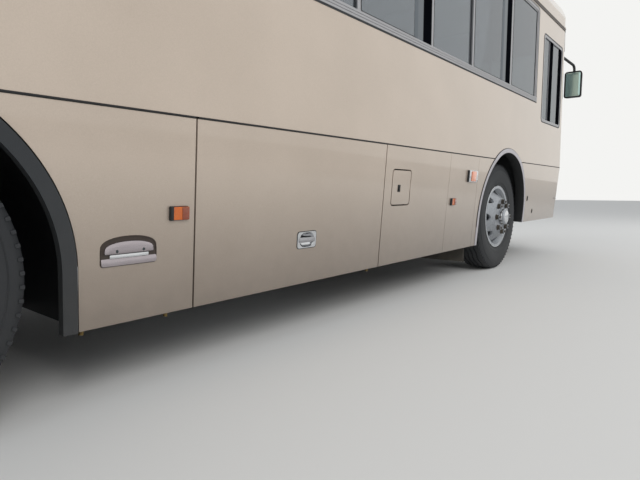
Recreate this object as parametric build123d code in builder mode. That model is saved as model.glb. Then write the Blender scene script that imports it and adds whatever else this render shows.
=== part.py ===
from build123d import *
import os

os.makedirs("parts", exist_ok=True)

# Millimetres. +X is forward, +Y is the left side of the bus, +Z is up.
# The origin lies on the ground under the middle of the whole length, mirrors counted.

# Overall body
WIDTH = 2490.0
WHEELBASE = 4717.0
FRONT_OVERHANG = 2200.0
REAR_OVERHANG = 2420.0
MIRROR_REACH = 330.0
SKIRT_Z = 283.0
FRONT_SKIRT_Z = 425.0
REAR_SKIRT_Z = 380.0
BUMPER_TOP_Z = 665.0
BELT_Z = 1037.0
SILL_Z = 1690.0
BAND_TOP_Z = 2635.0
DRIP_Z = 2683.0
ROOF_Z = 2990.0
TUCK = 60.0
WALL = 50.0
SKIRT_T = 30.0
DOOR_SKIN_T = 4.0
DOOR_SETBACK = 35.0
ROOF_T = 45.0
PANEL_GAP = 8.0
BEAD_L = 60.0
BEAD_FROM_END = 90.0
GROOVE_H = 9.0
GROOVE_D = 8.0

# Nose and tail seen from above
NOSE_BOW = 200.0
TAIL_BOW = 60.0
NOSE_CORNER_R = 250.0
TAIL_CORNER_R = 200.0
ROOF_EDGE_R = 180.0
ROOF_CROWN = 55.0
CROWN_EDGE = 60.0
CROWN_TRIM = 5.0
NOSE_RAKE = 60.0
MASK_BACK = 480.0
TAIL_SEAM = 330.0
DRIP_OUT = 8.0
DRIP_H = 14.0

# Wheels and tyres
TYRE_D = 1018.0
TYRE_W = 254.0
RIM_D = 597.0
RIM_W = 215.0
RIM_T = 14.0
HEEL_IN = 14.5
BEAD_UP = 3.0
TREAD_W = 200.0
SHOULDER_DROP = 14.0
FRONT_TYRE_INSET = 83.0
REAR_TYRE_INSET = 25.0
DUAL_SPACING = 300.0
STUD_PCD = 285.0
STUD_COUNT = 8
NUT_D = 41.0
NUT_H = 34.0
HUB_D = 220.0
HUB_BORE_D = 90.0
RUN_GAP = 0.3
FRONT_DISC_OUT = 45.0
DISC_T = 16.0
HAND_HOLE_D = 72.0
HAND_HOLE_FLAT = 16.0
HAND_HOLE_PCD = 470.0
HUB_CAP_D = 150.0
HUB_CAP_H = 48.0
HUB_NECK_D = 160.0
HUB_NECK_L = 40.0
DRUM_D = 410.0
DRUM_T = 15.0
DRUM_OPEN_Y = 962.0
REAR_HUB_OUT = 220.0

# Wheel arches
FRONT_ARCH_BACK = 16.0
REAR_ARCH_AHEAD = 17.0
FRONT_ARCH_R = 637.0
FRONT_ARCH_Z = 515.0
REAR_ARCH_R = 636.0
REAR_ARCH_Z = 492.0
FRONT_LIP = 37.0
REAR_LIP = 48.0
FRONT_LIP_PROUD = 5.0
REAR_LIP_PROUD = 12.0
LIP_T = 34.0
HOUSING_T = 8.0
HOUSING_GAP = 15.0
REAR_HOUSING_Z = 300.0
FRONT_HOUSING_Y = 535.0
REAR_HOUSING_Y = 600.0

# Windows, measured from the front axle
FIRST_PILLAR_BACK = 145.0
WINDOW_PITCH = 1570.0
PILLAR_W = 115.0
BAND_FRONT = 757.0
DRIVER_WINDOW_BACK = 955.0
DRIVER_WINDOW_W = 765.0
DRIVER_SILL_Z = 1510.0
DRIVER_TOP_Z = 2440.0
FRAME_W = 32.0
FRAME_T = 36.0
SASH_W = 34.0
SASH_T = 12.0
SASH_INSET = 4.0
DRIVER_BAR_AHEAD = 1262.0
DRIVER_BAR_W = 120.0
GLASS_T = 6.0
GLASS_INSET = 8.0

# Windscreen and rear window
SCREEN_BOTTOM_Z = 1290.0
SCREEN_TOP_Z = 2520.0
SCREEN_W = 2190.0
REAR_GLASS_BOTTOM_Z = 1800.0
REAR_GLASS_TOP_Z = 2500.0
REAR_GLASS_W = 1900.0
SCREEN_R = 110.0

# Lower doors, measured back from the front axle
SERVICE_DOOR_FRONT = 3594.0
LUGGAGE_DOOR_FRONT = 2196.0
FUEL_LID_BACK = 2100.0
FUEL_LID_W = 225.0
FUEL_LID_H = 218.0
FUEL_LID_Z = 779.0
FUEL_LID_R = 18.0
FUEL_LID_T = 20.0
BIG_HANDLE_BACK = 3880.0
BIG_HANDLE_Z = 546.0
BIG_HANDLE_W = 220.0
BIG_HANDLE_H = 92.0
BIG_HANDLE_DEPTH = 18.0
SMALL_HANDLE_BACK = 2900.0
SMALL_HANDLE_Z = 510.0
SMALL_HANDLE_W = 140.0
SMALL_HANDLE_H = 80.0
SMALL_HANDLE_DEPTH = 14.0

# Entrance on the left, ahead of the front wheel
ENTRANCE_BACK = 775.0
ENTRANCE_W = 834.0
ENTRANCE_TOP_Z = 2430.0
HEADER_H = 160.0
LEAF_T = 36.0
LEAF_INSET = 50.0
LEAF_PIVOT = 18.0
JAMB_GAP = 14.0
LEAF_JOINT = 5.0
LEAF_PIN_D = 16.0
LEAF_BOTTOM_GAP = 30.0
LEAF_TOP_GAP = 10.0
LEAF_RAIL = 45.0
LEAF_KICK_H = 330.0
STEP_RISE = 215.0
STEP_ONE_D = 520.0
STEP_TWO_D = 230.0
STEP_T = 12.0

# Emergency door on the right, behind the rear wheel
EMERGENCY_FRONT = 5660.0
EMERGENCY_W = 670.0
EMERGENCY_BOTTOM_Z = 1130.0
EMERGENCY_TOP_Z = 2610.0

# Engine lid in the tail
ENGINE_LID_W = 1500.0
ENGINE_LID_BOTTOM_Z = 700.0
ENGINE_LID_TOP_Z = 1480.0
LID_SLOTS = 7
LID_SLOT_FOOT = 90.0
LID_SLOT_Y = (90.0, 640.0)

# Floor, frame and running gear
FLOOR_Z = 1080.0
FLOOR_T = 40.0
PLATFORM_Z = 870.0
PLATFORM_AHEAD = 690.0
FRONT_RAIL_BOTTOM_Z = 600.0
RAIL_Y = 400.0
RAIL_W = 60.0
RAIL_BOTTOM_Z = 800.0
CROSS_T = 60.0
LUG_W = 90.0
LUG_T = 30.0
LUG_BORE_D = 42.0
LUG_Z = 335.0
KINGPIN_Y = 850.0
KINGPIN_D = 50.0
AXLE_EYE_D = 96.0
AXLE_EYE_H = 110.0
BEAM_H = 90.0
BEAM_W = 100.0
BEAM_DROP = 70.0
SPRING_HALF = 560.0
SPRING_W = 80.0
SPRING_T = 60.0
AXLE_TUBE_D = 150.0
DIFF_D = 400.0
ENGINE_BOTTOM_Z = 400.0
TRAY_Z = 350.0
TRAY_T = 20.0

# Cabin
SEAT_PITCH = 800.0
SEAT_ROWS = 8
SEAT_FIRST_BACK = 330.0
SEAT_W = 860.0
SEAT_CUSHION_Z = 330.0
SEAT_CUSHION_T = 110.0
SEAT_DEPTH = 440.0
SEAT_BACK_H = 700.0
SEAT_BACK_T = 90.0
SEAT_SHELL_H = 600.0

# Lamps and mirrors
MARKER_W = 80.0
MARKER_H = 50.0
MARKER_Z = 673.0
MARKER_PROUD = 12.0
CORNER_LAMP_Z = (1045.0, 1240.0)
CORNER_LAMP_AHEAD = (1950.0, 2110.0)
CORNER_LAMP_PROUD = 9.0
MIRROR_W = 210.0
MIRROR_H = 340.0
MIRROR_T = 90.0
MIRROR_Z = 2145.0
MIRROR_R = 36.0
MIRROR_TAPER = 7.0
MIRROR_OUT = 70.0
ARM_D = 32.0
ARM_RISE = 150.0
ARM_BEND_R = 60.0

# Places worked out from the sizes above
HALF = WIDTH / 2
FRONT_AXLE_X = (WHEELBASE + REAR_OVERHANG + DRIP_OUT - FRONT_OVERHANG - MIRROR_REACH) / 2
REAR_AXLE_X = FRONT_AXLE_X - WHEELBASE
FRONT_ARCH_X = FRONT_AXLE_X - FRONT_ARCH_BACK
REAR_ARCH_X = REAR_AXLE_X + REAR_ARCH_AHEAD
NOSE_X = FRONT_AXLE_X + FRONT_OVERHANG
TAIL_X = REAR_AXLE_X - REAR_OVERHANG
MASK_X = NOSE_X - MASK_BACK
TAIL_SEAM_X = TAIL_X + TAIL_SEAM
AXLE_Z = TYRE_D / 2
RIGHT = -1
LEFT = 1
SIDES = (RIGHT, LEFT)
SIDE_NAME = {RIGHT: "right", LEFT: "left"}


def from_axle(back):
    """X of a place given as a distance back from the front axle."""
    return FRONT_AXLE_X - back


def tuck_at(z):
    """How far the side has drawn in at a height below the belt."""
    return TUCK * max(0.0, BELT_Z - z) / (BELT_Z - SKIRT_Z)


def block(x_range, y_range, z_range, mode=Mode.ADD):
    """Box between two values along each axis."""
    middle = [(low + high) / 2 for low, high in (x_range, y_range, z_range)]
    size = [abs(high - low) for low, high in (x_range, y_range, z_range)]
    with Locations(tuple(middle)):
        Box(*size, mode=mode)


def side_plane(side, inset=0.0):
    """Plane of a side of the bus, drawn with local x along +X and local y up."""
    return Plane(origin=(0, side * (HALF - inset), 0), x_dir=(1, 0, 0), z_dir=(0, -1, 0))


def body_plan(level, inset=0.0, nose=NOSE_X):
    """The body seen from above: flat sides, bowed nose and tail, rounded corners."""
    half = HALF - inset
    nose_side = nose - NOSE_BOW - inset
    tail_side = TAIL_X + TAIL_BOW + inset
    with BuildSketch(Plane.XY.offset(level)) as plan:
        with BuildLine():
            Line((tail_side, -half), (nose_side, -half))
            ThreePointArc((nose_side, -half), (nose - inset, 0), (nose_side, half))
            Line((nose_side, half), (tail_side, half))
            ThreePointArc((tail_side, half), (TAIL_X + inset, 0), (tail_side, -half))
        make_face()
        fillet(plan.vertices().group_by(Axis.X)[-1], NOSE_CORNER_R - max(inset, 0))
        fillet(plan.vertices().group_by(Axis.X)[0], TAIL_CORNER_R - max(inset, 0))
    return plan.sketch


def body_solid(bottom, top, inset=0.0, nose_top=NOSE_X, nose_bottom=NOSE_X):
    """Solid of the body's plan between two heights, drawn in below the belt."""
    with BuildPart() as solid:
        lower = body_plan(bottom, inset + tuck_at(bottom), nose_bottom)
        upper = body_plan(top, inset + tuck_at(top), nose_top)
        loft([lower, upper], ruled=True)
    return solid.part


def side_skin(side, x_range, bottom, top, thick, out=0.0):
    """A stretch of the side: upright above the belt and drawn in below it."""
    face = HALF + out
    points = [(face - tuck_at(bottom), bottom)]
    if bottom < BELT_Z < top:
        points += [(face, BELT_Z)]
    points += [(face - tuck_at(top), top), (face - tuck_at(top) - thick, top)]
    if bottom < BELT_Z < top:
        points += [(face - thick, BELT_Z)]
    points += [(face - tuck_at(bottom) - thick, bottom)]
    with BuildPart() as skin:
        with BuildSketch(Plane.YZ.offset(x_range[0])):
            Polygon(*[(side * y, z) for y, z in points], align=None)
        extrude(amount=x_range[1] - x_range[0])
    return skin.part


def arch_sketch(side, centre_x, centre_z, radius, bottom, inset=0.0):
    """Outline of a wheel arch: half a circle with legs straight down."""
    with BuildSketch(side_plane(side, inset)) as arch:
        with Locations((centre_x, centre_z)):
            Circle(radius)
        with Locations((centre_x, (centre_z + bottom) / 2)):
            Rectangle(2 * radius, centre_z - bottom)
        with Locations((centre_x, bottom - radius)):
            Rectangle(2 * radius, 2 * radius, mode=Mode.SUBTRACT)
    return arch.sketch


def cut_arches(depth):
    """Take both wheel arches of both sides out of the piece being built."""
    arches = (
        (FRONT_ARCH_X, FRONT_ARCH_Z, FRONT_ARCH_R),
        (REAR_ARCH_X, REAR_ARCH_Z, REAR_ARCH_R),
    )
    for side in SIDES:
        for centre_x, centre_z, radius in arches:
            outline = arch_sketch(side, centre_x, centre_z, radius, 0.0, -WALL)
            extrude(outline, amount=side * depth, mode=Mode.SUBTRACT)


def cut_window(side, x_range, z_range, radius):
    """Cut a rounded window through a side."""
    with BuildSketch(side_plane(side, -WALL)) as window:
        with Locations(((x_range[0] + x_range[1]) / 2, (z_range[0] + z_range[1]) / 2)):
            RectangleRounded(x_range[1] - x_range[0], z_range[1] - z_range[0], radius)
    extrude(window.sketch, amount=side * 4 * WALL, mode=Mode.SUBTRACT)


def hinge_bead(start, end, gap, leaf_to, leaf_t=3.0):
    """Round hinge bead between two points, with a leaf reaching to the door's own edge."""
    radius = gap / 2 - RUN_GAP
    with BuildPart() as bead:
        with BuildLine() as pin:
            Line(start, end)
        with BuildSketch(Plane(origin=start, z_dir=Vector(*end) - Vector(*start))):
            Circle(radius)
        sweep(path=pin.line)
        middle = [(a + b) / 2 for a, b in zip(start, end)]
        size = [max(abs(a - b), leaf_t) for a, b in zip(start, end)]
        reach = [abs(a - b) for a, b in zip(middle, leaf_to)]
        centre = [(a + b) / 2 for a, b in zip(middle, leaf_to)]
        with Locations(tuple(centre)):
            Box(*[max(a, b) for a, b in zip(size, reach)])
    return bead.part


def finish(builder, name):
    """Label a finished piece and write it."""
    builder.part.label = name
    export_step(builder.part, f"parts/{name}.step")


# Window openings on each side, as X ranges
PILLAR_X = [from_axle(FIRST_PILLAR_BACK + WINDOW_PITCH * number) for number in range(5)]
BAND = [(PILLAR_X[0] + PILLAR_W / 2, from_axle(-BAND_FRONT))]
BAND += [(PILLAR_X[number + 1] + PILLAR_W / 2, PILLAR_X[number] - PILLAR_W / 2) for number in range(3)]
EMERGENCY_X = (from_axle(EMERGENCY_FRONT + EMERGENCY_W), from_axle(EMERGENCY_FRONT))
REAR_QUARTER = {
    RIGHT: (EMERGENCY_X[1] + PILLAR_W, PILLAR_X[3] - PILLAR_W / 2),
    LEFT: (PILLAR_X[4] + PILLAR_W / 2, PILLAR_X[3] - PILLAR_W / 2),
}
SIDE_UNITS = {side: BAND + [REAR_QUARTER[side]] for side in SIDES}
WINDOW_Z = (SILL_Z, BAND_TOP_Z)
WINDOW_R = 45.0
DRIVER_X = (from_axle(-DRIVER_WINDOW_BACK), from_axle(-DRIVER_WINDOW_BACK - DRIVER_WINDOW_W))
DRIVER_Z = (DRIVER_SILL_Z, DRIVER_TOP_Z)
ENTRANCE_X = (from_axle(-ENTRANCE_BACK), from_axle(-ENTRANCE_BACK - ENTRANCE_W))

DOORS_X = {
    RIGHT: (REAR_AXLE_X, from_axle(LUGGAGE_DOOR_FRONT)),
    LEFT: (from_axle(SERVICE_DOOR_FRONT), from_axle(LUGGAGE_DOOR_FRONT)),
}

# Side walls from the belt to the roof's drip edge
for side in SIDES:
    with BuildPart() as wall:
        add(side_skin(side, (TAIL_SEAM_X, MASK_X), BELT_Z, DRIP_Z, WALL))
        for unit in SIDE_UNITS[side]:
            cut_window(side, unit, WINDOW_Z, WINDOW_R)
        cut_arches(4 * WALL)
        groove_y = (side * (HALF - GROOVE_D), side * (HALF + GROOVE_D))
        block((TAIL_SEAM_X, MASK_X), groove_y, (BELT_Z, BELT_Z + GROOVE_H), Mode.SUBTRACT)
        through_y = (side * (HALF - 2 * WALL), side * (HALF + WALL))
        block(DOORS_X[side], through_y, (BELT_Z, BELT_Z + GROOVE_H), Mode.SUBTRACT)
        if side == RIGHT:
            cut_window(side, DRIVER_X, DRIVER_Z, WINDOW_R)
            block(
                (EMERGENCY_X[0] - PANEL_GAP, EMERGENCY_X[1] + PANEL_GAP),
                (side * (HALF + WALL), side * (HALF - 2 * WALL)),
                (EMERGENCY_BOTTOM_Z - PANEL_GAP, EMERGENCY_TOP_Z + PANEL_GAP),
                Mode.SUBTRACT,
            )
        else:
            block(
                ENTRANCE_X,
                (side * (HALF + WALL), side * (HALF - 2 * WALL)),
                (SKIRT_Z, ENTRANCE_TOP_Z),
                Mode.SUBTRACT,
            )
            header_y = (HALF - LEAF_INSET - 2 * LEAF_T, HALF - LEAF_INSET)
            block(ENTRANCE_X, header_y, (ENTRANCE_TOP_Z, ENTRANCE_TOP_Z + HEADER_H))
    finish(wall, f"wall_{SIDE_NAME[side]}")

# Fixed lower panels: tail, between luggage door and front arch, front
JOINT_W = 3.0
JOINT_D = 2.0
JOINT_X = (from_axle(1286.0), from_axle(736.0))
GRILLE_SLATS = 9
GRILLE_PITCH = 34.0
GRILLE_W = 620.0
GRILLE_BOTTOM_Z = 560.0
SERVICE_X = (REAR_AXLE_X, from_axle(SERVICE_DOOR_FRONT) - PANEL_GAP / 2)
LUGGAGE_X = (
    from_axle(SERVICE_DOOR_FRONT) + PANEL_GAP / 2,
    from_axle(LUGGAGE_DOOR_FRONT) - PANEL_GAP / 2,
)
MIDDLE_X = (from_axle(LUGGAGE_DOOR_FRONT) + PANEL_GAP / 2, FRONT_AXLE_X)
FUEL_X = (from_axle(FUEL_LID_BACK), from_axle(FUEL_LID_BACK) + FUEL_LID_W)
FUEL_Z = (FUEL_LID_Z - FUEL_LID_H / 2, FUEL_LID_Z + FUEL_LID_H / 2)


def fuel_outline(grow):
    """Rounded outline of the fuel lid, on the right side."""
    with BuildSketch(side_plane(RIGHT, -WALL)) as outline:
        with Locations(((FUEL_X[0] + FUEL_X[1]) / 2, FUEL_LID_Z)):
            RectangleRounded(FUEL_LID_W + 2 * grow, FUEL_LID_H + 2 * grow, FUEL_LID_R + grow)
    return outline.sketch


for side in SIDES:
    with BuildPart() as skirt:
        add(side_skin(side, (TAIL_SEAM_X, REAR_AXLE_X), REAR_SKIRT_Z, BELT_Z, SKIRT_T))
        add(side_skin(side, MIDDLE_X, SKIRT_Z, BELT_Z, SKIRT_T))
        if side == LEFT:
            add(side_skin(side, SERVICE_X, SKIRT_Z, BELT_Z, SKIRT_T))
        add(side_skin(side, (FRONT_AXLE_X, MASK_X), FRONT_SKIRT_Z, BELT_Z, SKIRT_T))
        cut_arches(6 * WALL)
        for joint_x in JOINT_X:
            reach = (joint_x, joint_x + JOINT_W)
            add(side_skin(side, reach, SKIRT_Z, BELT_Z, 2 * JOINT_D, JOINT_D), mode=Mode.SUBTRACT)
        grille_x = TAIL_SEAM_X + 2 * WALL
        for number in range(GRILLE_SLATS):
            slot_z = GRILLE_BOTTOM_Z + number * GRILLE_PITCH
            slot_y = (side * (HALF + WALL), side * (HALF - 4 * WALL))
            slot = (slot_z, slot_z + GRILLE_PITCH / 2)
            block((grille_x, grille_x + GRILLE_W), slot_y, slot, Mode.SUBTRACT)
        if side == RIGHT:
            extrude(fuel_outline(PANEL_GAP), amount=side * 4 * WALL, mode=Mode.SUBTRACT)
        else:
            block(
                ENTRANCE_X,
                (side * (HALF + WALL), side * (HALF - 4 * WALL)),
                (0, ENTRANCE_TOP_Z),
                Mode.SUBTRACT,
            )
    finish(skirt, f"skirt_{SIDE_NAME[side]}")


def belt_bead(side, bead_x):
    """Hinge bead of a lower door, in the belt groove."""
    bead_z = BELT_Z + GROOVE_H / 2
    ends = [(bead_x, side * HALF, bead_z), (bead_x + BEAD_L, side * HALF, bead_z)]
    return hinge_bead(*ends, GROOVE_H, (bead_x + BEAD_L / 2, side * (HALF - 3), BELT_Z - 3))


# Lids and doors of the lower side
for side in SIDES:
    with BuildPart() as luggage_door:
        add(side_skin(side, LUGGAGE_X, SKIRT_Z, BELT_Z, SKIRT_T))
        with BuildSketch(side_plane(side, -WALL)) as handle:
            with Locations((from_axle(SMALL_HANDLE_BACK), SMALL_HANDLE_Z)):
                RectangleRounded(SMALL_HANDLE_W, SMALL_HANDLE_H, SMALL_HANDLE_H / 6)
        reach = WALL + tuck_at(SMALL_HANDLE_Z) + SMALL_HANDLE_DEPTH
        extrude(handle.sketch, amount=side * reach, mode=Mode.SUBTRACT)
        for bead_x in (LUGGAGE_X[0] + BEAD_FROM_END, LUGGAGE_X[1] - BEAD_FROM_END - BEAD_L):
            add(belt_bead(side, bead_x))
    finish(luggage_door, f"luggage_door_{SIDE_NAME[side]}")

with BuildPart() as service_door:
    add(side_skin(RIGHT, SERVICE_X, SKIRT_Z, BELT_Z, SKIRT_T))
    outline = arch_sketch(RIGHT, REAR_ARCH_X, REAR_ARCH_Z, REAR_ARCH_R + PANEL_GAP, 0.0, -WALL)
    extrude(outline, amount=RIGHT * 6 * WALL, mode=Mode.SUBTRACT)
    with BuildPart(mode=Mode.PRIVATE) as setback:
        add(side_skin(RIGHT, SERVICE_X, SKIRT_Z, BELT_Z, SKIRT_T, -DOOR_SKIN_T))
        radius = REAR_ARCH_R + PANEL_GAP + DOOR_SETBACK
        outline = arch_sketch(RIGHT, REAR_ARCH_X, REAR_ARCH_Z, radius, 0.0, -WALL)
        extrude(outline, amount=RIGHT * 6 * WALL, mode=Mode.INTERSECT)
    add(setback.part, mode=Mode.SUBTRACT)
    with BuildSketch(side_plane(RIGHT, -WALL)) as handle:
        with Locations((from_axle(BIG_HANDLE_BACK), BIG_HANDLE_Z)):
            with BuildLine():
                half_w = BIG_HANDLE_W / 2
                half_h = BIG_HANDLE_H / 2
                Polyline((half_w, 0), (half_w, -half_h), (-half_w, -half_h), (-half_w, 0))
                ThreePointArc((-half_w, 0), (-0.7 * half_w, 0.8 * half_h), (0, half_h))
                ThreePointArc((0, half_h), (0.7 * half_w, 0.8 * half_h), (half_w, 0))
            make_face()
    reach = WALL + tuck_at(BIG_HANDLE_Z) + BIG_HANDLE_DEPTH
    extrude(handle.sketch, amount=RIGHT * reach, mode=Mode.SUBTRACT)
    for bead_x in (SERVICE_X[1] - BEAD_FROM_END - BEAD_L, SERVICE_X[1] - 5 * BEAD_FROM_END - BEAD_L):
        add(belt_bead(RIGHT, bead_x))
finish(service_door, "service_door")

with BuildPart() as fuel_lid:
    add(side_skin(RIGHT, FUEL_X, FUEL_Z[0], FUEL_Z[1], FUEL_LID_T))
    extrude(fuel_outline(0), amount=RIGHT * 4 * WALL, mode=Mode.INTERSECT)
    bead_x = FUEL_X[1] + PANEL_GAP / 2
    bead_z = (FUEL_LID_Z - BEAD_L / 2, FUEL_LID_Z + BEAD_L / 2)
    bead_ends = [(bead_x, RIGHT * (HALF - tuck_at(z)), z) for z in bead_z]
    leaf_at = (FUEL_X[1] - 3, RIGHT * (HALF - tuck_at(FUEL_LID_Z) - 4), FUEL_LID_Z)
    add(hinge_bead(*bead_ends, PANEL_GAP, leaf_at))
finish(fuel_lid, "fuel_lid")

# Roof: one crowned shell with rounded edges and a drip edge all round


def crown(drop):
    """Everything under the roof's crown, which falls away towards both sides."""
    edge_y = HALF - CROWN_EDGE
    edge_z = ROOF_Z - ROOF_CROWN - drop
    with BuildPart() as under:
        with BuildSketch(Plane.YZ.offset(TAIL_X - WALL)):
            with BuildLine():
                ThreePointArc((-edge_y, edge_z), (0, ROOF_Z - drop), (edge_y, edge_z))
                Polyline((edge_y, edge_z), (WIDTH, 0), (-WIDTH, 0), (-edge_y, edge_z))
            make_face()
        extrude(amount=NOSE_X - TAIL_X + 2 * WALL)
    return under.part


def roof_solid(inset, edge_r):
    """The roof's outer or inner form: the plan drawn up and rounded over, under its crown."""
    with BuildPart() as form:
        extrude(body_plan(DRIP_Z, inset, NOSE_X - NOSE_RAKE), amount=ROOF_Z + CROWN_TRIM - inset - DRIP_Z)
        fillet(form.faces().sort_by(Axis.Z)[-1].edges(), edge_r)
        add(crown(inset), mode=Mode.INTERSECT)
    return form.part


HATCH_X = (from_axle(900.0), from_axle(5600.0))
HATCH_W = 620.0
HATCH_UP = 45.0
with BuildPart() as roof:
    add(roof_solid(0, ROOF_EDGE_R))
    for hatch_x in HATCH_X:
        with BuildSketch(Plane.XY.offset(ROOF_Z - ROOF_T)) as hatch:
            with Locations((hatch_x, 0)):
                RectangleRounded(HATCH_W, HATCH_W, HATCH_UP)
        extrude(hatch.sketch, amount=ROOF_T + HATCH_UP)
    add(roof_solid(ROOF_T, ROOF_EDGE_R - ROOF_T), mode=Mode.SUBTRACT)
    extrude(body_plan(DRIP_Z, -DRIP_OUT, NOSE_X - NOSE_RAKE), amount=DRIP_H)
    extrude(body_plan(DRIP_Z, ROOF_T, NOSE_X - NOSE_RAKE), amount=DRIP_H, mode=Mode.SUBTRACT)
finish(roof, "roof")

LAMP_X_Y = (HALF - 470.0, HALF - 120.0)
HEADLAMP_Z = (770.0, 930.0)
INTAKE_SLOTS = 4
INTAKE_HALF = 420.0


def screen_outline(plane, width, bottom, top):
    """Rounded outline of the windscreen or rear window on an upright plane across the bus."""
    with BuildSketch(plane) as outline:
        with Locations((0, (bottom + top) / 2)):
            RectangleRounded(width, top - bottom, SCREEN_R)
    return outline.sketch


ACROSS = Plane.YZ
SCREEN_SKETCH = screen_outline(ACROSS, SCREEN_W, SCREEN_BOTTOM_Z, SCREEN_TOP_Z)
REAR_GLASS_SKETCH = screen_outline(ACROSS, REAR_GLASS_W, REAR_GLASS_BOTTOM_Z, REAR_GLASS_TOP_Z)
REACH = FRONT_OVERHANG + WHEELBASE + REAR_OVERHANG
ENGINE_LID_Z = (ENGINE_LID_BOTTOM_Z, ENGINE_LID_TOP_Z)


def seam_band(bottom, top, nose_top=NOSE_X):
    """Shallow groove that runs round the body between two heights."""
    with BuildPart() as band:
        add(body_solid(bottom, top, -GROOVE_D, nose_top))
        add(body_solid(bottom, top, GROOVE_D, nose_top), mode=Mode.SUBTRACT)
    return band.part


# Front mask from the bumper to the roof
with BuildPart() as front_mask:
    add(body_solid(BELT_Z, DRIP_Z, 0, NOSE_X - NOSE_RAKE))
    add(body_solid(BUMPER_TOP_Z, BELT_Z))
    add(body_solid(BELT_Z, DRIP_Z, WALL, NOSE_X - NOSE_RAKE), mode=Mode.SUBTRACT)
    add(body_solid(BUMPER_TOP_Z, BELT_Z, WALL), mode=Mode.SUBTRACT)
    block((TAIL_X, MASK_X), (-WIDTH, WIDTH), (0, 2 * ROOF_Z), Mode.SUBTRACT)
    extrude(SCREEN_SKETCH, amount=REACH, mode=Mode.SUBTRACT)
    for side in SIDES:
        lamp_y = [side * edge for edge in LAMP_X_Y]
        block((MASK_X, NOSE_X), (min(lamp_y), max(lamp_y)), HEADLAMP_Z, Mode.SUBTRACT)
    for number in range(INTAKE_SLOTS):
        slot_z = HEADLAMP_Z[0] + (number + 0.25) * GRILLE_PITCH
        slot_x = (NOSE_X - 2 * WALL, NOSE_X)
        block(slot_x, (-INTAKE_HALF, INTAKE_HALF), (slot_z, slot_z + GRILLE_PITCH / 2), Mode.SUBTRACT)
    add(seam_band(BUMPER_TOP_Z, BUMPER_TOP_Z + GROOVE_H), mode=Mode.SUBTRACT)
    add(seam_band(BELT_Z, BELT_Z + GROOVE_H, NOSE_X - NOSE_RAKE), mode=Mode.SUBTRACT)
finish(front_mask, "front_mask")

with BuildPart() as front_bumper:
    add(body_solid(FRONT_SKIRT_Z, BUMPER_TOP_Z))
    add(body_solid(FRONT_SKIRT_Z, BUMPER_TOP_Z, WALL), mode=Mode.SUBTRACT)
    block((TAIL_X, MASK_X), (-WIDTH, WIDTH), (0, 2 * ROOF_Z), Mode.SUBTRACT)
finish(front_bumper, "front_bumper")

# Tail panel with the rear window and the engine opening
REAR_LAMP_Y = (HALF - 290.0, HALF - 150.0)
REAR_LAMP_Z = (900.0, 1400.0)
with BuildPart() as rear_panel:
    add(body_solid(BELT_Z, DRIP_Z))
    add(body_solid(BUMPER_TOP_Z, BELT_Z))
    add(body_solid(BELT_Z, DRIP_Z, WALL), mode=Mode.SUBTRACT)
    add(body_solid(BUMPER_TOP_Z, BELT_Z, WALL), mode=Mode.SUBTRACT)
    block((TAIL_SEAM_X, NOSE_X), (-WIDTH, WIDTH), (0, 2 * ROOF_Z), Mode.SUBTRACT)
    extrude(REAR_GLASS_SKETCH, amount=-REACH, mode=Mode.SUBTRACT)
    lid_y = ENGINE_LID_W / 2 + PANEL_GAP
    lid_z = (ENGINE_LID_BOTTOM_Z - PANEL_GAP, ENGINE_LID_TOP_Z + PANEL_GAP)
    block((TAIL_X, TAIL_SEAM_X), (-lid_y, lid_y), lid_z, Mode.SUBTRACT)
    for side in SIDES:
        lamp_y = [side * edge for edge in REAR_LAMP_Y]
        block((TAIL_X, TAIL_SEAM_X), (min(lamp_y), max(lamp_y)), REAR_LAMP_Z, Mode.SUBTRACT)
    add(seam_band(BUMPER_TOP_Z, BUMPER_TOP_Z + GROOVE_H), mode=Mode.SUBTRACT)
    add(seam_band(BELT_Z, BELT_Z + GROOVE_H), mode=Mode.SUBTRACT)
finish(rear_panel, "rear_panel")

with BuildPart() as rear_bumper:
    add(body_solid(REAR_SKIRT_Z, BUMPER_TOP_Z))
    add(body_solid(REAR_SKIRT_Z, BUMPER_TOP_Z, WALL), mode=Mode.SUBTRACT)
    block((TAIL_SEAM_X, NOSE_X), (-WIDTH, WIDTH), (0, 2 * ROOF_Z), Mode.SUBTRACT)
finish(rear_bumper, "rear_bumper")


def end_shell(inset, thick, bottom, top, nose_top=NOSE_X):
    """A skin of the body between two insets, above the belt or below it."""
    with BuildPart() as shell:
        add(body_solid(bottom, top, inset, nose_top))
        add(body_solid(bottom, top, inset + thick, nose_top), mode=Mode.SUBTRACT)
    return shell.part


with BuildPart() as engine_lid:
    add(end_shell(0, WALL, BELT_Z, ENGINE_LID_TOP_Z))
    add(end_shell(0, WALL, ENGINE_LID_BOTTOM_Z, BELT_Z))
    lid_half = ENGINE_LID_W / 2
    block((TAIL_X, TAIL_SEAM_X), (-lid_half, lid_half), ENGINE_LID_Z, Mode.INTERSECT)
    for side in SIDES:
        for number in range(LID_SLOTS):
            slot_z = ENGINE_LID_BOTTOM_Z + LID_SLOT_FOOT + number * GRILLE_PITCH
            slot_y = (side * LID_SLOT_Y[0], side * LID_SLOT_Y[1])
            block((TAIL_X, TAIL_SEAM_X), slot_y, (slot_z, slot_z + GRILLE_PITCH / 2), Mode.SUBTRACT)
    bead_z = ENGINE_LID_TOP_Z + PANEL_GAP / 2
    bead_ends = [(TAIL_X, sign * BEAD_L, bead_z) for sign in SIDES]
    add(hinge_bead(*bead_ends, PANEL_GAP, (TAIL_X + 4, 0, ENGINE_LID_TOP_Z - 3)))
finish(engine_lid, "engine_lid")

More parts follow.
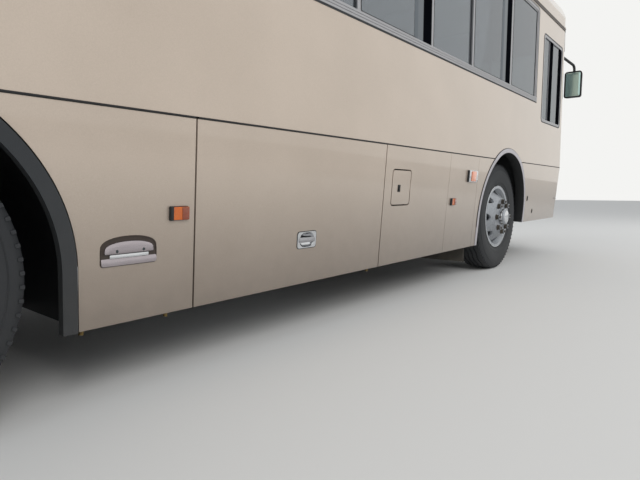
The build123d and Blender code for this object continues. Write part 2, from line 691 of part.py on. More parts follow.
# Windscreen and rear window
with BuildPart() as windscreen:
    add(end_shell(GLASS_INSET, GLASS_T, BELT_Z, DRIP_Z, NOSE_X - NOSE_RAKE))
    extrude(SCREEN_SKETCH, amount=REACH, mode=Mode.INTERSECT)
finish(windscreen, "windscreen")

with BuildPart() as rear_glass:
    add(end_shell(GLASS_INSET, GLASS_T, BELT_Z, DRIP_Z))
    extrude(REAR_GLASS_SKETCH, amount=-REACH, mode=Mode.INTERSECT)
finish(rear_glass, "rear_glass")

# Side windows: a fixed ring, and in the wide ones two sashes that pass each other at the middle
FRAMED = [(side, unit, WINDOW_Z) for side in SIDES for unit in SIDE_UNITS[side]]
SASH_FROM_W = 1000.0


def frame_centre(x_range, z_range):
    """Middle of a window on its side plane."""
    return ((x_range[0] + x_range[1]) / 2, (z_range[0] + z_range[1]) / 2)


def ring_outline(side, inset, x_range, z_range, width, radius):
    """Rounded ring of a window on its side plane."""
    wide = x_range[1] - x_range[0]
    high = z_range[1] - z_range[0]
    with BuildSketch(side_plane(side, inset)) as ring:
        with Locations(frame_centre(x_range, z_range)):
            RectangleRounded(wide, high, radius)
            RectangleRounded(wide - 2 * width, high - 2 * width, radius - width / 2, mode=Mode.SUBTRACT)
    return ring.sketch


def sashes(x_range, z_range):
    """The sliding sashes of a wide window, or the one pane's place, as (x range, z range, inset)."""
    inner_x = (x_range[0] + FRAME_W, x_range[1] - FRAME_W)
    inner_z = (z_range[0] + FRAME_W, z_range[1] - FRAME_W)
    if x_range[1] - x_range[0] < SASH_FROM_W:
        return [(inner_x, inner_z, SASH_INSET)]
    middle = (inner_x[0] + inner_x[1]) / 2
    front = ((middle - SASH_W / 2, inner_x[1]), inner_z, SASH_INSET)
    rear = ((inner_x[0], middle + SASH_W / 2), inner_z, SASH_INSET + SASH_T + RUN_GAP)
    return [front, rear]


with BuildPart() as window_frames:
    for side, x_range, z_range in FRAMED:
        extrude(ring_outline(side, 0, x_range, z_range, FRAME_W, WINDOW_R), amount=side * FRAME_T)
        for sash_x, sash_z, inset in sashes(x_range, z_range):
            with BuildSketch(side_plane(side, inset)) as sash:
                with Locations(frame_centre(sash_x, sash_z)):
                    Rectangle(sash_x[1] - sash_x[0], sash_z[1] - sash_z[0])
                    Rectangle(
                        sash_x[1] - sash_x[0] - 2 * SASH_W,
                        sash_z[1] - sash_z[0] - SASH_W,
                        mode=Mode.SUBTRACT,
                    )
            extrude(sash.sketch, amount=side * SASH_T)
    extrude(ring_outline(RIGHT, 0, DRIVER_X, DRIVER_Z, FRAME_W, WINDOW_R), amount=RIGHT * FRAME_T)
    bar_x = (from_axle(-DRIVER_BAR_AHEAD) - DRIVER_BAR_W / 2, from_axle(-DRIVER_BAR_AHEAD) + DRIVER_BAR_W / 2)
    bar_y = (RIGHT * (HALF - SASH_INSET), RIGHT * (HALF - FRAME_T))
    block(bar_x, bar_y, (DRIVER_Z[0] + FRAME_W / 2, DRIVER_Z[1] - FRAME_W / 2))
finish(window_frames, "window_frames")

with BuildPart() as side_glass:
    panes = [
        (side, (sash_x[0] + SASH_W, sash_x[1] - SASH_W), (sash_z[0] + SASH_W / 2, sash_z[1] - SASH_W / 2), inset)
        for side, x_range, z_range in FRAMED
        for sash_x, sash_z, inset in sashes(x_range, z_range)
    ]
    driver_z = (DRIVER_Z[0] + FRAME_W, DRIVER_Z[1] - FRAME_W)
    panes += [(RIGHT, (DRIVER_X[0] + FRAME_W, bar_x[0]), driver_z, GLASS_INSET)]
    panes += [(RIGHT, (bar_x[1], DRIVER_X[1] - FRAME_W), driver_z, GLASS_INSET)]
    for side, pane_x, pane_z, inset in panes:
        with BuildSketch(side_plane(side, inset + (SASH_T - GLASS_T) / 2)) as pane:
            with Locations(frame_centre(pane_x, pane_z)):
                Rectangle(pane_x[1] - pane_x[0] - 2 * RUN_GAP, pane_z[1] - pane_z[0] - 2 * RUN_GAP)
        extrude(pane.sketch, amount=side * GLASS_T)
    with BuildPart(mode=Mode.PRIVATE) as clearance:
        extrude(ring_outline(RIGHT, -WALL, DRIVER_X, DRIVER_Z, FRAME_W + RUN_GAP, WINDOW_R), amount=-4 * WALL)
    add(clearance.part, mode=Mode.SUBTRACT)
finish(side_glass, "side_glass")

# Wheel arch lips: painted at the front, black rubber at the rear
with BuildPart() as front_arch_lips:
    for side in SIDES:
        bottoms = ((-1, SKIRT_Z), (1, FRONT_SKIRT_Z))
        for ahead, bottom in bottoms:
            edges = sorted((FRONT_ARCH_X, FRONT_ARCH_X + ahead * FRONT_ARCH_R))
            top = FRONT_ARCH_Z + FRONT_ARCH_R
            add(side_skin(side, edges, bottom, top, LIP_T, FRONT_LIP_PROUD))
    with BuildPart(mode=Mode.PRIVATE) as ring:
        for side in SIDES:
            outer = arch_sketch(side, FRONT_ARCH_X, FRONT_ARCH_Z, FRONT_ARCH_R, 0, -WALL)
            extrude(outer, amount=side * 6 * WALL)
        for side in SIDES:
            radius = FRONT_ARCH_R - FRONT_LIP
            inner = arch_sketch(side, FRONT_ARCH_X, FRONT_ARCH_Z, radius, 0, -2 * WALL)
            extrude(inner, amount=side * 8 * WALL, mode=Mode.SUBTRACT)
    add(ring.part, mode=Mode.INTERSECT)
finish(front_arch_lips, "front_arch_lips")

with BuildPart() as rear_arch_rubbers:
    for side in SIDES:
        bottoms = ((-1, REAR_SKIRT_Z), (1, SKIRT_Z))
        for ahead, bottom in bottoms:
            edges = sorted((REAR_ARCH_X, REAR_ARCH_X + ahead * REAR_ARCH_R))
            top = REAR_ARCH_Z + REAR_ARCH_R
            add(side_skin(side, edges, bottom, top, LIP_T, REAR_LIP_PROUD))
    with BuildPart(mode=Mode.PRIVATE) as ring:
        for side in SIDES:
            outer = arch_sketch(side, REAR_ARCH_X, REAR_ARCH_Z, REAR_ARCH_R, 0, -WALL)
            extrude(outer, amount=side * 6 * WALL)
        for side in SIDES:
            radius = REAR_ARCH_R - REAR_LIP
            inner = arch_sketch(side, REAR_ARCH_X, REAR_ARCH_Z, radius, 0, -2 * WALL)
            extrude(inner, amount=side * 8 * WALL, mode=Mode.SUBTRACT)
    add(ring.part, mode=Mode.INTERSECT)
finish(rear_arch_rubbers, "rear_arch_rubbers")

# Wheel housings: an arched liner with a wall on its inner side
# centre x, centre z, radius, inner y, rear leg bottom, front leg bottom
FRONT_HOUSING_R = FRONT_ARCH_R + HOUSING_GAP
REAR_HOUSING_R = REAR_ARCH_R
HOUSINGS = (
    (FRONT_ARCH_X, FRONT_ARCH_Z, FRONT_HOUSING_R, FRONT_HOUSING_Y, FRONT_SKIRT_Z),
    (REAR_ARCH_X, REAR_ARCH_Z, REAR_HOUSING_R, REAR_HOUSING_Y, REAR_HOUSING_Z),
)
HOUSING_OUTER_Y = HALF - TUCK - SKIRT_T - 2.0
with BuildPart() as wheel_housings:
    for side in SIDES:
        for centre_x, centre_z, radius, inner_y, bottom in HOUSINGS:
            outer = arch_sketch(side, centre_x, centre_z, radius + HOUSING_T, bottom, HALF - HOUSING_OUTER_Y)
            extrude(outer, amount=side * (HOUSING_OUTER_Y - inner_y))
    for side in SIDES:
        for centre_x, centre_z, radius, inner_y, bottom in HOUSINGS:
            inner = arch_sketch(side, centre_x, centre_z, radius, 0, 0)
            reach = HALF - inner_y - HOUSING_T
            extrude(inner, amount=side * reach, mode=Mode.SUBTRACT)
            notch = (centre_x - AXLE_TUBE_D, centre_x + AXLE_TUBE_D)
            wall_y = sorted((side * (inner_y - WALL), side * (inner_y + WALL)))
            block(notch, wall_y, (0, AXLE_Z + 2 * AXLE_TUBE_D), Mode.SUBTRACT)
finish(wheel_housings, "wheel_housings")

# Floor deck with the wheel housings and the stepwell cut out, and the steps
DECK_Y = HALF - WALL
STEPWELL_Y = DECK_Y - STEP_ONE_D - STEP_TWO_D
STEP_X = (ENTRANCE_X[0] - STEP_T, ENTRANCE_X[1] + STEP_T)
STEP_TWO_Z = PLATFORM_Z - STEP_RISE
PLATFORM_X = FRONT_AXLE_X + PLATFORM_AHEAD
STEP_ONE_Z = FRONT_SKIRT_Z + STEP_T
with BuildPart() as floor_deck:
    block((TAIL_SEAM_X, PLATFORM_X), (-DECK_Y, DECK_Y), (FLOOR_Z - FLOOR_T, FLOOR_Z))
    platform_y = DECK_Y - TUCK
    block((PLATFORM_X, MASK_X), (-platform_y, platform_y), (PLATFORM_Z - FLOOR_T, PLATFORM_Z))
    with BuildPart(mode=Mode.PRIVATE) as toe_board:
        add(body_solid(PLATFORM_Z - FLOOR_T, PLATFORM_Z, WALL + RUN_GAP))
        block((TAIL_X, MASK_X + RUN_GAP), (-WIDTH, WIDTH), (0, ROOF_Z), Mode.SUBTRACT)
    add(toe_board.part)
    riser_z = (PLATFORM_Z - FLOOR_T, FLOOR_Z)
    block((PLATFORM_X - STEP_T, PLATFORM_X), (-platform_y, platform_y), riser_z)
    for side in SIDES:
        for centre_x, centre_z, radius, inner_y, bottom in HOUSINGS:
            reach = radius + HOUSING_T + RUN_GAP
            outline = arch_sketch(side, centre_x, centre_z, reach, 0, -WALL)
            extrude(outline, amount=side * (HALF + WALL - inner_y + RUN_GAP), mode=Mode.SUBTRACT)
    block(STEP_X, (STEPWELL_Y, DECK_Y), (0, PLATFORM_Z), Mode.SUBTRACT)
    block((STEP_X[0], STEP_X[1]), (STEPWELL_Y, DECK_Y), (PLATFORM_Z - WALL, FLOOR_Z), Mode.SUBTRACT)
    treads = (
        (STEPWELL_Y, STEPWELL_Y + STEP_TWO_D, STEP_TWO_Z),
        (STEPWELL_Y + STEP_TWO_D, DECK_Y - 2 * SKIRT_T, STEP_ONE_Z),
    )
    for low_y, high_y, tread_z in treads:
        block(STEP_X, (low_y, high_y), (tread_z - STEP_T, tread_z))
    risers = (
        (STEPWELL_Y, STEP_TWO_Z - STEP_T, PLATFORM_Z),
        (STEPWELL_Y + STEP_TWO_D, STEP_ONE_Z - STEP_T, STEP_TWO_Z),
    )
    for riser_y, low_z, high_z in risers:
        block(STEP_X, (riser_y - STEP_T, riser_y), (low_z, high_z))
    for cheek_x in (STEP_X[0] - STEP_T, STEP_X[1]):
        block(
            (cheek_x, cheek_x + STEP_T),
            (STEPWELL_Y - STEP_T, DECK_Y - 2 * SKIRT_T),
            (STEP_ONE_Z - STEP_T, PLATFORM_Z),
        )
finish(floor_deck, "floor_deck")

# Ladder frame under the floor
RAIL_TOP_Z = FLOOR_Z - FLOOR_T
BAY_X = (from_axle(SERVICE_DOOR_FRONT), from_axle(LUGGAGE_DOOR_FRONT))
FRAME_X = (TAIL_X + TAIL_BOW + 2 * WALL, NOSE_X - NOSE_BOW - 2 * WALL)
CROSS_X = (
    FRAME_X[0],
    REAR_AXLE_X - SPRING_HALF - CROSS_T,
    REAR_AXLE_X + SPRING_HALF + CROSS_T,
    BAY_X[0] - 2 * CROSS_T,
    BAY_X[1] + CROSS_T,
    FRONT_AXLE_X - SPRING_HALF - CROSS_T,
    PLATFORM_X - 2 * CROSS_T,
    FRAME_X[1] - CROSS_T,
)
FRONT_RAIL_TOP_Z = PLATFORM_Z - FLOOR_T
LUG_X = (FRAME_X[0] + LUG_W, FRAME_X[1] - LUG_W)
CHANNEL_T = 9.0
FRONT_RAIL_X = (PLATFORM_X - 2 * CROSS_T, FRAME_X[1])
# x range, z range
RAILS = (
    ((FRAME_X[0], BAY_X[0]), (RAIL_BOTTOM_Z, RAIL_TOP_Z)),
    ((BAY_X[0], BAY_X[1]), (RAIL_TOP_Z - CROSS_T, RAIL_TOP_Z)),
    ((BAY_X[1], PLATFORM_X - STEP_T), (RAIL_BOTTOM_Z, RAIL_TOP_Z)),
)
members = []
for side in SIDES:
    web_y = side * (RAIL_Y + RAIL_W / 2)
    rail_y = sorted((side * (RAIL_Y - RAIL_W / 2), web_y))
    hollow_y = sorted((side * (RAIL_Y - RAIL_W), web_y - side * CHANNEL_T))
    lug_y = sorted((side * (RAIL_Y - LUG_T / 2), side * (RAIL_Y + LUG_T / 2)))
    for rail_x, rail_z in RAILS:
        with BuildPart() as rail:
            block((rail_x[0] + RUN_GAP, rail_x[1]), rail_y, rail_z)
            hollow_z = (rail_z[0] + CHANNEL_T, rail_z[1] - CHANNEL_T)
            block(rail_x, hollow_y, hollow_z, Mode.SUBTRACT)
        members.append(rail.part)
    with BuildPart() as front_rail:
        block(FRONT_RAIL_X, rail_y, (FRONT_RAIL_BOTTOM_Z, RAIL_BOTTOM_Z - RUN_GAP))
        block((PLATFORM_X, FRAME_X[1]), rail_y, (FRONT_RAIL_BOTTOM_Z, FRONT_RAIL_TOP_Z))
    members.append(front_rail.part)
    for lug_x, hung_z in zip(LUG_X, (RAIL_BOTTOM_Z, FRONT_RAIL_BOTTOM_Z)):
        with BuildPart() as lug:
            block((lug_x - LUG_W / 2, lug_x + LUG_W / 2), lug_y, (LUG_Z, hung_z - RUN_GAP))
            with Locations(Location((lug_x, side * RAIL_Y, LUG_Z), (90, 0, 0))):
                Cylinder(LUG_W / 2, LUG_T)
                Cylinder(LUG_BORE_D / 2, LUG_T, mode=Mode.SUBTRACT)
        members.append(lug.part)
for cross_x in CROSS_X:
    cross_z = (RAIL_BOTTOM_Z, RAIL_TOP_Z)
    if cross_x > PLATFORM_X:
        cross_z = (FRONT_RAIL_BOTTOM_Z, FRONT_RAIL_TOP_Z)
    cross_y = RAIL_Y - RAIL_W / 2 - RUN_GAP
    with BuildPart() as cross:
        block((cross_x, cross_x + CROSS_T), (-cross_y, cross_y), cross_z)
    members.append(cross.part)
with BuildPart() as chassis_frame:
    for member in members:
        add(member)
finish(chassis_frame, "chassis_frame")

# Luggage bay between the two luggage doors
BAY_Y = HALF - TUCK - SKIRT_T - 2 * PANEL_GAP
with BuildPart() as luggage_bay:
    block(BAY_X, (-BAY_Y, BAY_Y), (TRAY_Z, RAIL_TOP_Z))
    inner_x = (BAY_X[0] + TRAY_T, BAY_X[1] - TRAY_T)
    block(inner_x, (-WIDTH, WIDTH), (TRAY_Z + TRAY_T, 2 * RAIL_TOP_Z), Mode.SUBTRACT)
    for side in SIDES:
        rail_y = sorted((side * (RAIL_Y - RAIL_W / 2), side * (RAIL_Y + RAIL_W / 2)))
        block(BAY_X, rail_y, (RAIL_TOP_Z - CROSS_T, RAIL_TOP_Z), Mode.SUBTRACT)
finish(luggage_bay, "luggage_bay")

# Propeller shaft from the gearbox to the differential, with a joint at each end
SHAFT_D = 90.0
JOINT_D_OUT = 130.0
JOINT_L = 60.0
SHAFT_X = (TAIL_X + 1650.0 + RUN_GAP, REAR_AXLE_X - DIFF_D / 2 + 20.0)
with BuildPart() as propeller_shaft:
    for start, end, diameter in (
        (SHAFT_X[0], SHAFT_X[0] + JOINT_L, JOINT_D_OUT),
        (SHAFT_X[0] + JOINT_L, SHAFT_X[1] - JOINT_L, SHAFT_D),
        (SHAFT_X[1] - JOINT_L, SHAFT_X[1], JOINT_D_OUT),
    ):
        with Locations(Location(((start + end) / 2, 0, AXLE_Z), (0, 90, 0))):
            Cylinder(diameter / 2, end - start)
    with Locations((REAR_AXLE_X, 0, AXLE_Z)):
        Sphere(DIFF_D / 2 + RUN_GAP, mode=Mode.SUBTRACT)
finish(propeller_shaft, "propeller_shaft")

# Front axle: dropped beam with an eye at each end, on leaf springs
SPRING_Y = RAIL_Y
BEAM_Z = AXLE_Z - BEAM_DROP
CRANK_Y = (SPRING_Y + SPRING_W, KINGPIN_Y - AXLE_EYE_D)
with BuildPart() as front_axle:
    with BuildSketch(Plane.YZ.offset(FRONT_AXLE_X - BEAM_W / 2)):
        with BuildLine():
            top = BEAM_H / 2
            Polyline(
                (-KINGPIN_Y, AXLE_Z + top),
                (-CRANK_Y[1], AXLE_Z + top),
                (-CRANK_Y[0], BEAM_Z + top),
                (CRANK_Y[0], BEAM_Z + top),
                (CRANK_Y[1], AXLE_Z + top),
                (KINGPIN_Y, AXLE_Z + top),
                (KINGPIN_Y, AXLE_Z - top),
                (CRANK_Y[1], AXLE_Z - top),
                (CRANK_Y[0], BEAM_Z - top),
                (-CRANK_Y[0], BEAM_Z - top),
                (-CRANK_Y[1], AXLE_Z - top),
                (-KINGPIN_Y, AXLE_Z - top),
                close=True,
            )
        make_face()
    extrude(amount=BEAM_W)
    for side in SIDES:
        with Locations((FRONT_AXLE_X, side * KINGPIN_Y, AXLE_Z)):
            Cylinder(AXLE_EYE_D / 2, AXLE_EYE_H)
            Cylinder(KINGPIN_D / 2 + RUN_GAP, 2 * AXLE_EYE_H, mode=Mode.SUBTRACT)
        with Locations((FRONT_AXLE_X, side * SPRING_Y, BEAM_Z + BEAM_H / 2 + 10.0)):
            Box(2 * BEAM_W, SPRING_W, 30.0)
        with BuildSketch(Plane.XZ.offset(-side * SPRING_Y - SPRING_W / 2)) as leaf:
            with BuildLine():
                low = BEAM_Z + BEAM_H / 2
                high = RAIL_BOTTOM_Z - SPRING_T
                start = (FRONT_AXLE_X - SPRING_HALF, high)
                end = (FRONT_AXLE_X + SPRING_HALF, high)
                middle = (FRONT_AXLE_X, low)
                start_up = (start[0], high + SPRING_T)
                end_up = (end[0], high + SPRING_T)
                middle_up = (middle[0], low + SPRING_T)
                ThreePointArc(start, middle, end)
                Line(end, end_up)
                ThreePointArc(end_up, middle_up, start_up)
                Line(start_up, start)
            make_face()
        extrude(leaf.sketch, amount=SPRING_W)
finish(front_axle, "front_axle")

# Rear axle: tube with a differential, on leaf springs
REAR_TYRE_Y = HALF - REAR_TYRE_INSET - TYRE_W / 2
DUAL_Y = REAR_TYRE_Y - DUAL_SPACING / 2
REAR_SPINDLE_Y = DUAL_Y + 60.0
with BuildPart() as rear_axle:
    with Locations(Location((REAR_AXLE_X, 0, AXLE_Z), (90, 0, 0))):
        Cylinder(AXLE_TUBE_D / 2, 2 * (DUAL_Y - 60.0 - HUB_NECK_L - 5.0))
        Cylinder(HUB_BORE_D / 2 - RUN_GAP, 2 * REAR_SPINDLE_Y)
    with Locations((REAR_AXLE_X, 0, AXLE_Z)):
        Sphere(DIFF_D / 2)
    for side in SIDES:
        with BuildSketch(Plane.XZ.offset(-side * SPRING_Y - SPRING_W / 2)) as leaf:
            with BuildLine():
                low = AXLE_Z + AXLE_TUBE_D / 2 - 10.0
                high = RAIL_BOTTOM_Z - SPRING_T
                start = (REAR_AXLE_X - SPRING_HALF, high)
                end = (REAR_AXLE_X + SPRING_HALF, high)
                middle = (REAR_AXLE_X, low)
                start_up = (start[0], high + SPRING_T)
                end_up = (end[0], high + SPRING_T)
                middle_up = (middle[0], low + SPRING_T)
                ThreePointArc(start, middle, end)
                Line(end, end_up)
                ThreePointArc(end_up, middle_up, start_up)
                Line(start_up, start)
            make_face()
        extrude(leaf.sketch, amount=SPRING_W)
finish(rear_axle, "rear_axle")

# Knuckles: a fork round the axle eye, its kingpin and the wheel's spindle
FORK_GAP = RUN_GAP
FORK_T = 40.0
FORK_W = 110.0
FRONT_TYRE_Y = HALF - FRONT_TYRE_INSET - TYRE_W / 2
SPINDLE_END_Y = FRONT_TYRE_Y + 60.0
for side in SIDES:
    with BuildPart() as knuckle:
        ear_z = AXLE_EYE_H / 2 + FORK_GAP + FORK_T / 2
        with Locations(*[(FRONT_AXLE_X, side * KINGPIN_Y, AXLE_Z + sign * ear_z) for sign in (-1, 1)]):
            Cylinder(FORK_W / 2, FORK_T)
        with Locations((FRONT_AXLE_X, side * KINGPIN_Y, AXLE_Z)):
            Cylinder(KINGPIN_D / 2, AXLE_EYE_H + 2 * FORK_T)
        root_y = KINGPIN_Y + AXLE_EYE_D / 2 + 10.0
        web_y = sorted((side * root_y, side * (root_y + FORK_T)))
        half_w = FORK_W / 2
        span_z = ear_z + FORK_T / 2
        block((FRONT_AXLE_X - half_w, FRONT_AXLE_X + half_w), web_y, (AXLE_Z - span_z, AXLE_Z + span_z))
        for sign in (-1, 1):
            ear_y = sorted((side * KINGPIN_Y, side * (root_y + FORK_T)))
            ear_low = AXLE_Z + sign * ear_z - FORK_T / 2
            block((FRONT_AXLE_X - half_w, FRONT_AXLE_X + half_w), ear_y, (ear_low, ear_low + FORK_T))
        spindle_l = SPINDLE_END_Y - root_y
        with Locations(Location((FRONT_AXLE_X, side * (root_y + spindle_l / 2), AXLE_Z), (90, 0, 0))):
            Cylinder(HUB_BORE_D / 2 - RUN_GAP, spindle_l)
    finish(knuckle, f"knuckle_{SIDE_NAME[side]}")


def tyre_ring(plane, centre):
    """One tyre turned about the wheel's axle, centred at a distance along it."""
    bead = RIM_D / 2 - RIM_T
    heel = RIM_W / 2 - HEEL_IN
    half = (
        (bead, heel),
        (RIM_D / 2 + BEAD_UP, heel),
        ((TYRE_D + RIM_D) / 4, TYRE_W / 2),
        (TYRE_D / 2 - SHOULDER_DROP, TREAD_W / 2 + SHOULDER_DROP / 2),
        (TYRE_D / 2, TREAD_W / 2 - SHOULDER_DROP / 2),
    )
    outline = [(radius, centre - across) for radius, across in half]
    outline += [(radius, centre + across) for radius, across in reversed(half)]
    with BuildPart() as ring:
        with BuildSketch(plane) as section:
            Polygon(*outline, align=None)
        revolve(section.sketch, Axis(plane.origin, plane.y_dir))
    return ring.part


def wheel_plane(side, axle_x):
    """Plane through a wheel's axle: local x up, local y outwards."""
    return Plane(origin=(axle_x, 0, AXLE_Z), x_dir=(0, 0, 1), z_dir=(side * -1, 0, 0))


def rim_ring(plane, centre):
    """Rim of one wheel: a shallow channel with two flanges."""
    flange = RIM_D / 2
    seat = flange - RIM_T
    half = RIM_W / 2
    with BuildPart() as ring:
        with BuildSketch(plane) as section:
            with BuildLine():
                Polyline(
                    (flange, centre - half),
                    (flange, centre - half + 10),
                    (seat - 0.5, centre - half + 14),
                    (seat - 0.5, centre + half - 14),
                    (flange, centre + half - 10),
                    (flange, centre + half),
                    (seat - RIM_T, centre + half),
                    (seat - 3 * RIM_T, centre + half - 50),
                    (seat - 3 * RIM_T, centre - half + 50),
                    (seat - RIM_T, centre - half),
                    close=True,
                )
            make_face()
        axis = Axis(plane.origin, plane.y_dir)
        revolve(section.sketch, axis)
    return ring.part


def disc_part(plane, side, axle_x, mount_y, rim_y):
    """Dished disc from the rim's channel to its bolted face, with hand holes, nuts and hub."""
    seat = RIM_D / 2 - 4 * RIM_T
    bolted = STUD_PCD / 2 + 30.0
    with BuildPart() as disc:
        with BuildSketch(plane) as section:
            with BuildLine():
                Polyline(
                    (HUB_BORE_D / 2, mount_y - DISC_T),
                    (HUB_BORE_D / 2, mount_y),
                    (bolted, mount_y),
                    (seat + RIM_T, rim_y),
                    (seat + RIM_T, rim_y - DISC_T),
                    (bolted, mount_y - DISC_T),
                    close=True,
                )
            make_face()
        revolve(section.sketch, Axis(plane.origin, plane.y_dir))
        face = Plane(origin=(axle_x, side * mount_y, AXLE_Z), x_dir=(1, 0, 0), z_dir=(0, side, 0))
        with BuildSketch(face) as holes:
            with PolarLocations(HAND_HOLE_PCD / 2, STUD_COUNT):
                Circle(HAND_HOLE_D / 2)
                with Locations((HAND_HOLE_D / 2 - HAND_HOLE_FLAT / 2, 0)):
                    Rectangle(HAND_HOLE_FLAT, HAND_HOLE_D, mode=Mode.SUBTRACT)
        extrude(holes.sketch, amount=300, both=True, mode=Mode.SUBTRACT)
        with BuildSketch(face) as nuts:
            with PolarLocations(STUD_PCD / 2, STUD_COUNT):
                RegularPolygon(NUT_D / 2, 6)
        extrude(nuts.sketch, amount=NUT_H)
    return disc.part


def hub_part(plane, drum_open, drum_web, disc_y, cap_y, spindle_end):
    """Hub with its brake drum and cap, bored for the spindle from its inner side."""
    bore = HUB_BORE_D / 2
    with BuildPart() as hub:
        with BuildSketch(plane) as section:
            with BuildLine():
                Polyline(
                    (bore, drum_web - HUB_NECK_L),
                    (HUB_NECK_D / 2, drum_web - HUB_NECK_L),
                    (HUB_NECK_D / 2, drum_web),
                    (DRUM_D / 2 - DRUM_T, drum_web),
                    (DRUM_D / 2 - DRUM_T, drum_open),
                    (DRUM_D / 2, drum_open),
                    (DRUM_D / 2, drum_web + DRUM_T),
                    (HUB_D / 2, drum_web + DRUM_T),
                    (HUB_D / 2, disc_y),
                    (HUB_CAP_D / 2, disc_y),
                    (HUB_CAP_D / 2, cap_y - 12),
                    (HUB_CAP_D / 2 - 12, cap_y),
                    (0, cap_y),
                    (0, spindle_end + 2),
                    (bore, spindle_end + 2),
                    close=True,
                )
            make_face()
        revolve(section.sketch, Axis(plane.origin, plane.y_dir))
    return hub.part


FRONT_DISC_Y = FRONT_TYRE_Y + RIM_W / 2 + FRONT_DISC_OUT
for side in SIDES:
    plane = wheel_plane(side, FRONT_AXLE_X)
    with BuildPart() as wheel:
        add(rim_ring(plane, FRONT_TYRE_Y))
        add(disc_part(plane, side, FRONT_AXLE_X, FRONT_DISC_Y, FRONT_TYRE_Y + RIM_W / 2 - 50))
        cap_y = FRONT_DISC_Y + HUB_CAP_H
        add(hub_part(plane, DRUM_OPEN_Y, FRONT_TYRE_Y + 30, FRONT_DISC_Y, cap_y, SPINDLE_END_Y))
    finish(wheel, f"wheel_front_{SIDE_NAME[side]}")
    with BuildPart() as tyre:
        add(tyre_ring(plane, FRONT_TYRE_Y))
    finish(tyre, f"tyre_front_{SIDE_NAME[side]}")

for side in SIDES:
    plane = wheel_plane(side, REAR_AXLE_X)
    inner_y = REAR_TYRE_Y - DUAL_SPACING
    with BuildPart() as wheel:
        for centre in (REAR_TYRE_Y, inner_y):
            add(rim_ring(plane, centre))
        add(disc_part(plane, side, REAR_AXLE_X, DUAL_Y + DISC_T, REAR_TYRE_Y))
        with BuildSketch(plane) as section:
            with BuildLine():
                Polyline(
                    (HUB_BORE_D / 2, DUAL_Y - DISC_T),
                    (HUB_BORE_D / 2, DUAL_Y + DISC_T / 2),
                    (STUD_PCD / 2 + 30, DUAL_Y + DISC_T / 2),
                    (RIM_D / 2 - 3 * RIM_T, inner_y + 20),
                    (RIM_D / 2 - 3 * RIM_T, inner_y),
                    (STUD_PCD / 2 + 30, DUAL_Y - DISC_T),
                    close=True,
                )
            make_face()
        revolve(section.sketch, Axis(plane.origin, plane.y_dir))
        cap_y = DUAL_Y + REAR_HUB_OUT
        add(hub_part(plane, inner_y - 60, DUAL_Y - 60, cap_y - HUB_CAP_H, cap_y, REAR_SPINDLE_Y))
    finish(wheel, f"wheels_rear_{SIDE_NAME[side]}")
    with BuildPart() as tyres:
        for centre in (REAR_TYRE_Y, inner_y):
            add(tyre_ring(plane, centre))
    finish(tyres, f"tyres_rear_{SIDE_NAME[side]}")

# Entrance door: two leaves that fold at the middle
LEAF_Y = HALF - LEAF_INSET
LEAF_L = (ENTRANCE_W - 2 * (JAMB_GAP + LEAF_PIVOT)) / 2
PIVOT_X = ENTRANCE_X[1] - JAMB_GAP - LEAF_PIVOT
MIDDLE_JOINT_X = PIVOT_X - LEAF_L
LEAF_Z = (STEP_ONE_Z + LEAF_BOTTOM_GAP, ENTRANCE_TOP_Z - LEAF_TOP_GAP)
LEAF_SPANS = {
    "front": (MIDDLE_JOINT_X + LEAF_JOINT, PIVOT_X + LEAF_PIVOT),
    "rear": (MIDDLE_JOINT_X - LEAF_L - LEAF_PIVOT, MIDDLE_JOINT_X - LEAF_JOINT),
}
for leaf_name, leaf_x in LEAF_SPANS.items():
    pane_x = (leaf_x[0] + LEAF_RAIL, leaf_x[1] - LEAF_RAIL)
    pane_z = (LEAF_Z[0] + LEAF_KICK_H, LEAF_Z[1] - LEAF_RAIL)
    with BuildPart() as leaf:
        block(leaf_x, (LEAF_Y - LEAF_T, LEAF_Y), LEAF_Z)
        block(pane_x, (LEAF_Y - 2 * LEAF_T, LEAF_Y + LEAF_T), pane_z, Mode.SUBTRACT)
        pin_x = PIVOT_X if leaf_name == "front" else MIDDLE_JOINT_X - LEAF_L
        pin_top = ENTRANCE_TOP_Z - RUN_GAP
        with Locations((pin_x, LEAF_Y - LEAF_T / 2, (LEAF_Z[1] + pin_top) / 2)):
            Cylinder(LEAF_PIN_D / 2, pin_top - LEAF_Z[1])
        if leaf_name == "front":
            pin_bottom = STEP_ONE_Z + RUN_GAP
            with Locations((pin_x, LEAF_Y - LEAF_T / 2, (LEAF_Z[0] + pin_bottom) / 2)):
                Cylinder(LEAF_PIN_D / 2, LEAF_Z[0] - pin_bottom)
            for low in (LEAF_Z[0] + BEAD_FROM_END, LEAF_Z[1] - BEAD_FROM_END - BEAD_L):
                bead_ends = [(MIDDLE_JOINT_X, LEAF_Y, z) for z in (low, low + BEAD_L)]
                leaf_at = (leaf_x[0] + 3, LEAF_Y - 3, low + BEAD_L / 2)
                add(hinge_bead(*bead_ends, 2 * LEAF_JOINT, leaf_at))
    finish(leaf, f"entrance_leaf_{leaf_name}")
    with BuildPart() as pane:
        pane_y = (LEAF_Y - LEAF_T / 2 - GLASS_T / 2, LEAF_Y - LEAF_T / 2 + GLASS_T / 2)
        block(pane_x, pane_y, pane_z)
    finish(pane, f"entrance_glass_{leaf_name}")

